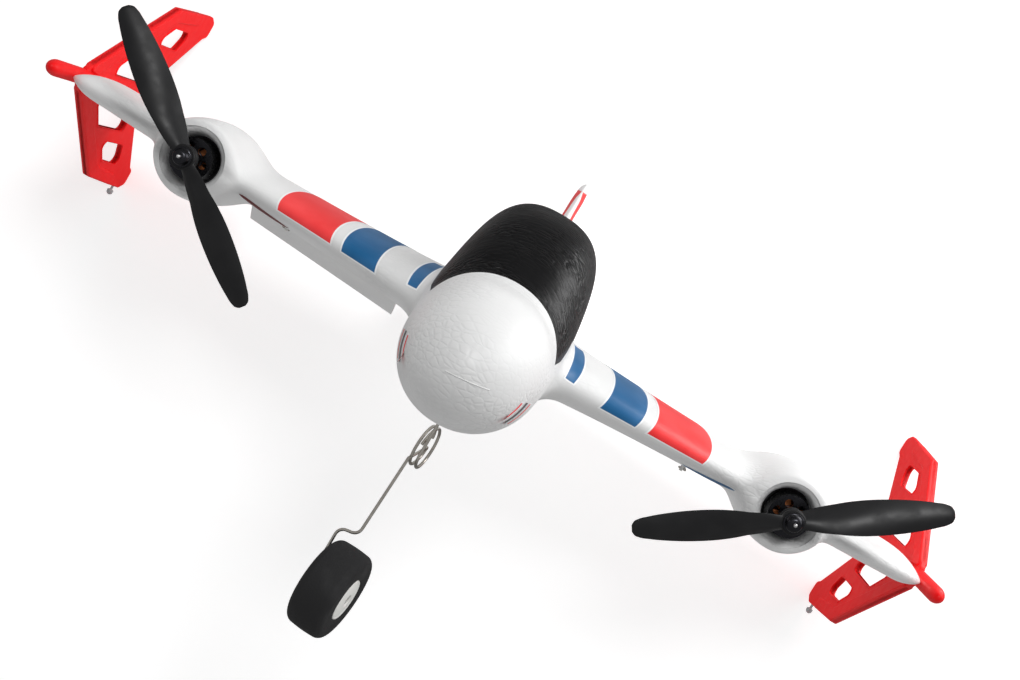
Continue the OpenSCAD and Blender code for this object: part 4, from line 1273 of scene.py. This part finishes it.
# ---------- finishes for the CAD pieces that stay ----------

FINISHES = {
    "wing_spar": plastic_material("carbon_tube", (0.012, 0.012, 0.013), 0.3),
    "fin_skids": plastic_material("clear_foot", (0.80, 0.82, 0.84), 0.22, Transmission_Weight=0.6),
    "hatch_magnets": MAGNET,
    "canopy_magnets": MAGNET,
    "battery_tray": wood_material(),
    "battery": WRAP_BLUE,
    "battery_strap": web_material(),
    "battery_lead": plastic_material("silicone_red", (0.50, 0.015, 0.015), 0.5),
    "flight_controller": board_material(),
    "speed_controllers": plastic_material("module_black", (0.02, 0.02, 0.024), 0.3, 110.0, 0.2),
    "motor_leads": plastic_material("silicone_black", (0.012, 0.012, 0.012), 0.5),
    "hinge_pins": STEEL,
    "control_horn": PART_BLACK,
    "servo_arm": NYLON,
    "servo": plastic_material("servo_blue", (0.02, 0.07, 0.33), 0.22, Coat_Weight=0.4),
    "pushrod": NICKEL_WIRE,
    "motor_mount": PART_BLACK,
    "mount_screws": STEEL,
    "motor_base": metal_material("motor_alloy", (0.42, 0.42, 0.45), 0.34),
    "stator": metal_material("lamination", (0.16, 0.17, 0.20), 0.42, (1.0, 12.0, 1.0), 0.03),
    "windings": copper_material(),
    "bearings": STEEL,
    "bell": ANODISED,
    "rotor_magnets": MAGNET,
    "shaft": STEEL,
    "gear_block_screws": STEEL,
    "gear_block": NYLON,
    "wheel_collar": STEEL,
}


def finish_for(node):
    for key in sorted(FINISHES, key=len, reverse=True):
        if node.startswith(key):
            return FINISHES[key]
    return None


for node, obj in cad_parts.items():
    surface = finish_for(node)
    if surface:
        paint(obj.data, surface)

# ---------- stage, light and camera ----------

FLOOR_GLOW, WORLD_GLOW = 0.60, 0.34
CAMERA_PLACE, CAMERA_TURN = (12.6, -716.6, 63.7), (0.288, 84.878, 30.88)
# Rows: name, direction from the model in camera axes (right, up, nearer), distance, size, power.
SOFTBOXES = [
    ("key", (0.34, 0.36, 1.0), 1.5, 0.34, 9.0),
    ("side", (1.0, 0.25, 0.05), 1.3, 0.8, 6.0),
    ("rim", (1.0, 0.30, -0.42), 0.42, 0.30, 1.2),
]


def stage_material():
    """Pale floor, dim in reflections and clear from behind, as the model stands on it tail down."""
    g = Graph("pale_floor")
    behind = g.node("ShaderNodeNewGeometry").outputs["Backfacing"]
    clear = g.node("ShaderNodeBsdfTransparent")
    mixed = g.node("ShaderNodeMixShader", {0: behind, 1: g.shader.outputs[0], 2: clear.outputs[0]})
    g.tree.links.new(mixed.outputs[0], g.tree.nodes["Material Output"].inputs[0])
    glossy = g.node("ShaderNodeLightPath").outputs["Is Glossy Ray"]
    glow = g.times(g.math("SUBTRACT", 1.0, glossy), FLOOR_GLOW)
    drift = g.span(g.noise(3.0, 2.0), 0.3, 0.7, 0.72, 0.75)
    tone = g.times(drift, g.span(glossy, 0.0, 1.0, 1.0, 0.35))
    return g.set(Base_Color=tone, Roughness=0.9, Emission_Color=(1, 1, 1), Emission_Strength=glow)


def add_floor():
    """The floor the model stands on, behind its tail, facing the nose."""
    feet = max(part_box("tip_fin_left")[1][1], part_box("tip_fin_right")[1][1])
    size = 3.0
    mesh = bpy.data.meshes.new("floor")
    y = feet + 0.0005
    middle = float(ORIGIN[2])
    corners = [(x, y, middle + z) for x, z in ((-size, -size), (size, -size), (size, size), (-size, size))]
    mesh.from_pydata(corners, [], [(0, 1, 2, 3)])
    floor = add_object("floor", mesh, stage_material())


def camera_axes():
    """Camera turn: nearly level, tipped down a little and rolled, as the model is seen."""
    heading, pitch, roll = (math.radians(a) for a in CAMERA_TURN)
    return Matrix.Rotation(heading, 4, "Z") @ Matrix.Rotation(pitch, 4, "X") @ Matrix.Rotation(roll, 4, "Z")


def add_camera():
    data = bpy.data.cameras.new("camera")
    data.lens = 50.0
    data.sensor_width = 36.0
    data.clip_start, data.clip_end = 0.05, 20.0
    camera = add_object("camera", data)
    camera.matrix_world = Matrix.Translation(Vector(placed([CAMERA_PLACE])[0])) @ camera_axes()
    bpy.context.scene.camera = camera
    return camera


def add_softbox(name, direction, distance, size, power, camera):
    """Square soft light, placed by a direction in camera axes and aimed at the model."""
    away = (camera.matrix_world.to_3x3() @ Vector(direction)).normalized()
    target = Vector(placed([(0, 0, 0)])[0])
    light = bpy.data.lights.new(name, "AREA")
    light.size = size
    light.energy = power
    lamp = add_object(name, light)
    lamp.location = target + away * distance
    lamp.rotation_euler = away.to_track_quat("Z", "Y").to_euler()
    lamp.visible_camera = False


def add_world(strength):
    world = bpy.data.worlds.new("world")
    bpy.context.scene.world = world
    world.use_nodes = True
    back = world.node_tree.nodes["Background"]
    back.inputs["Color"].default_value = (1.0, 1.0, 1.0, 1.0)
    back.inputs["Strength"].default_value = strength


add_floor()
camera = add_camera()
add_world(WORLD_GLOW)
for softbox in SOFTBOXES:
    add_softbox(*softbox, camera)
bpy.context.scene.view_settings.view_transform = "Standard"
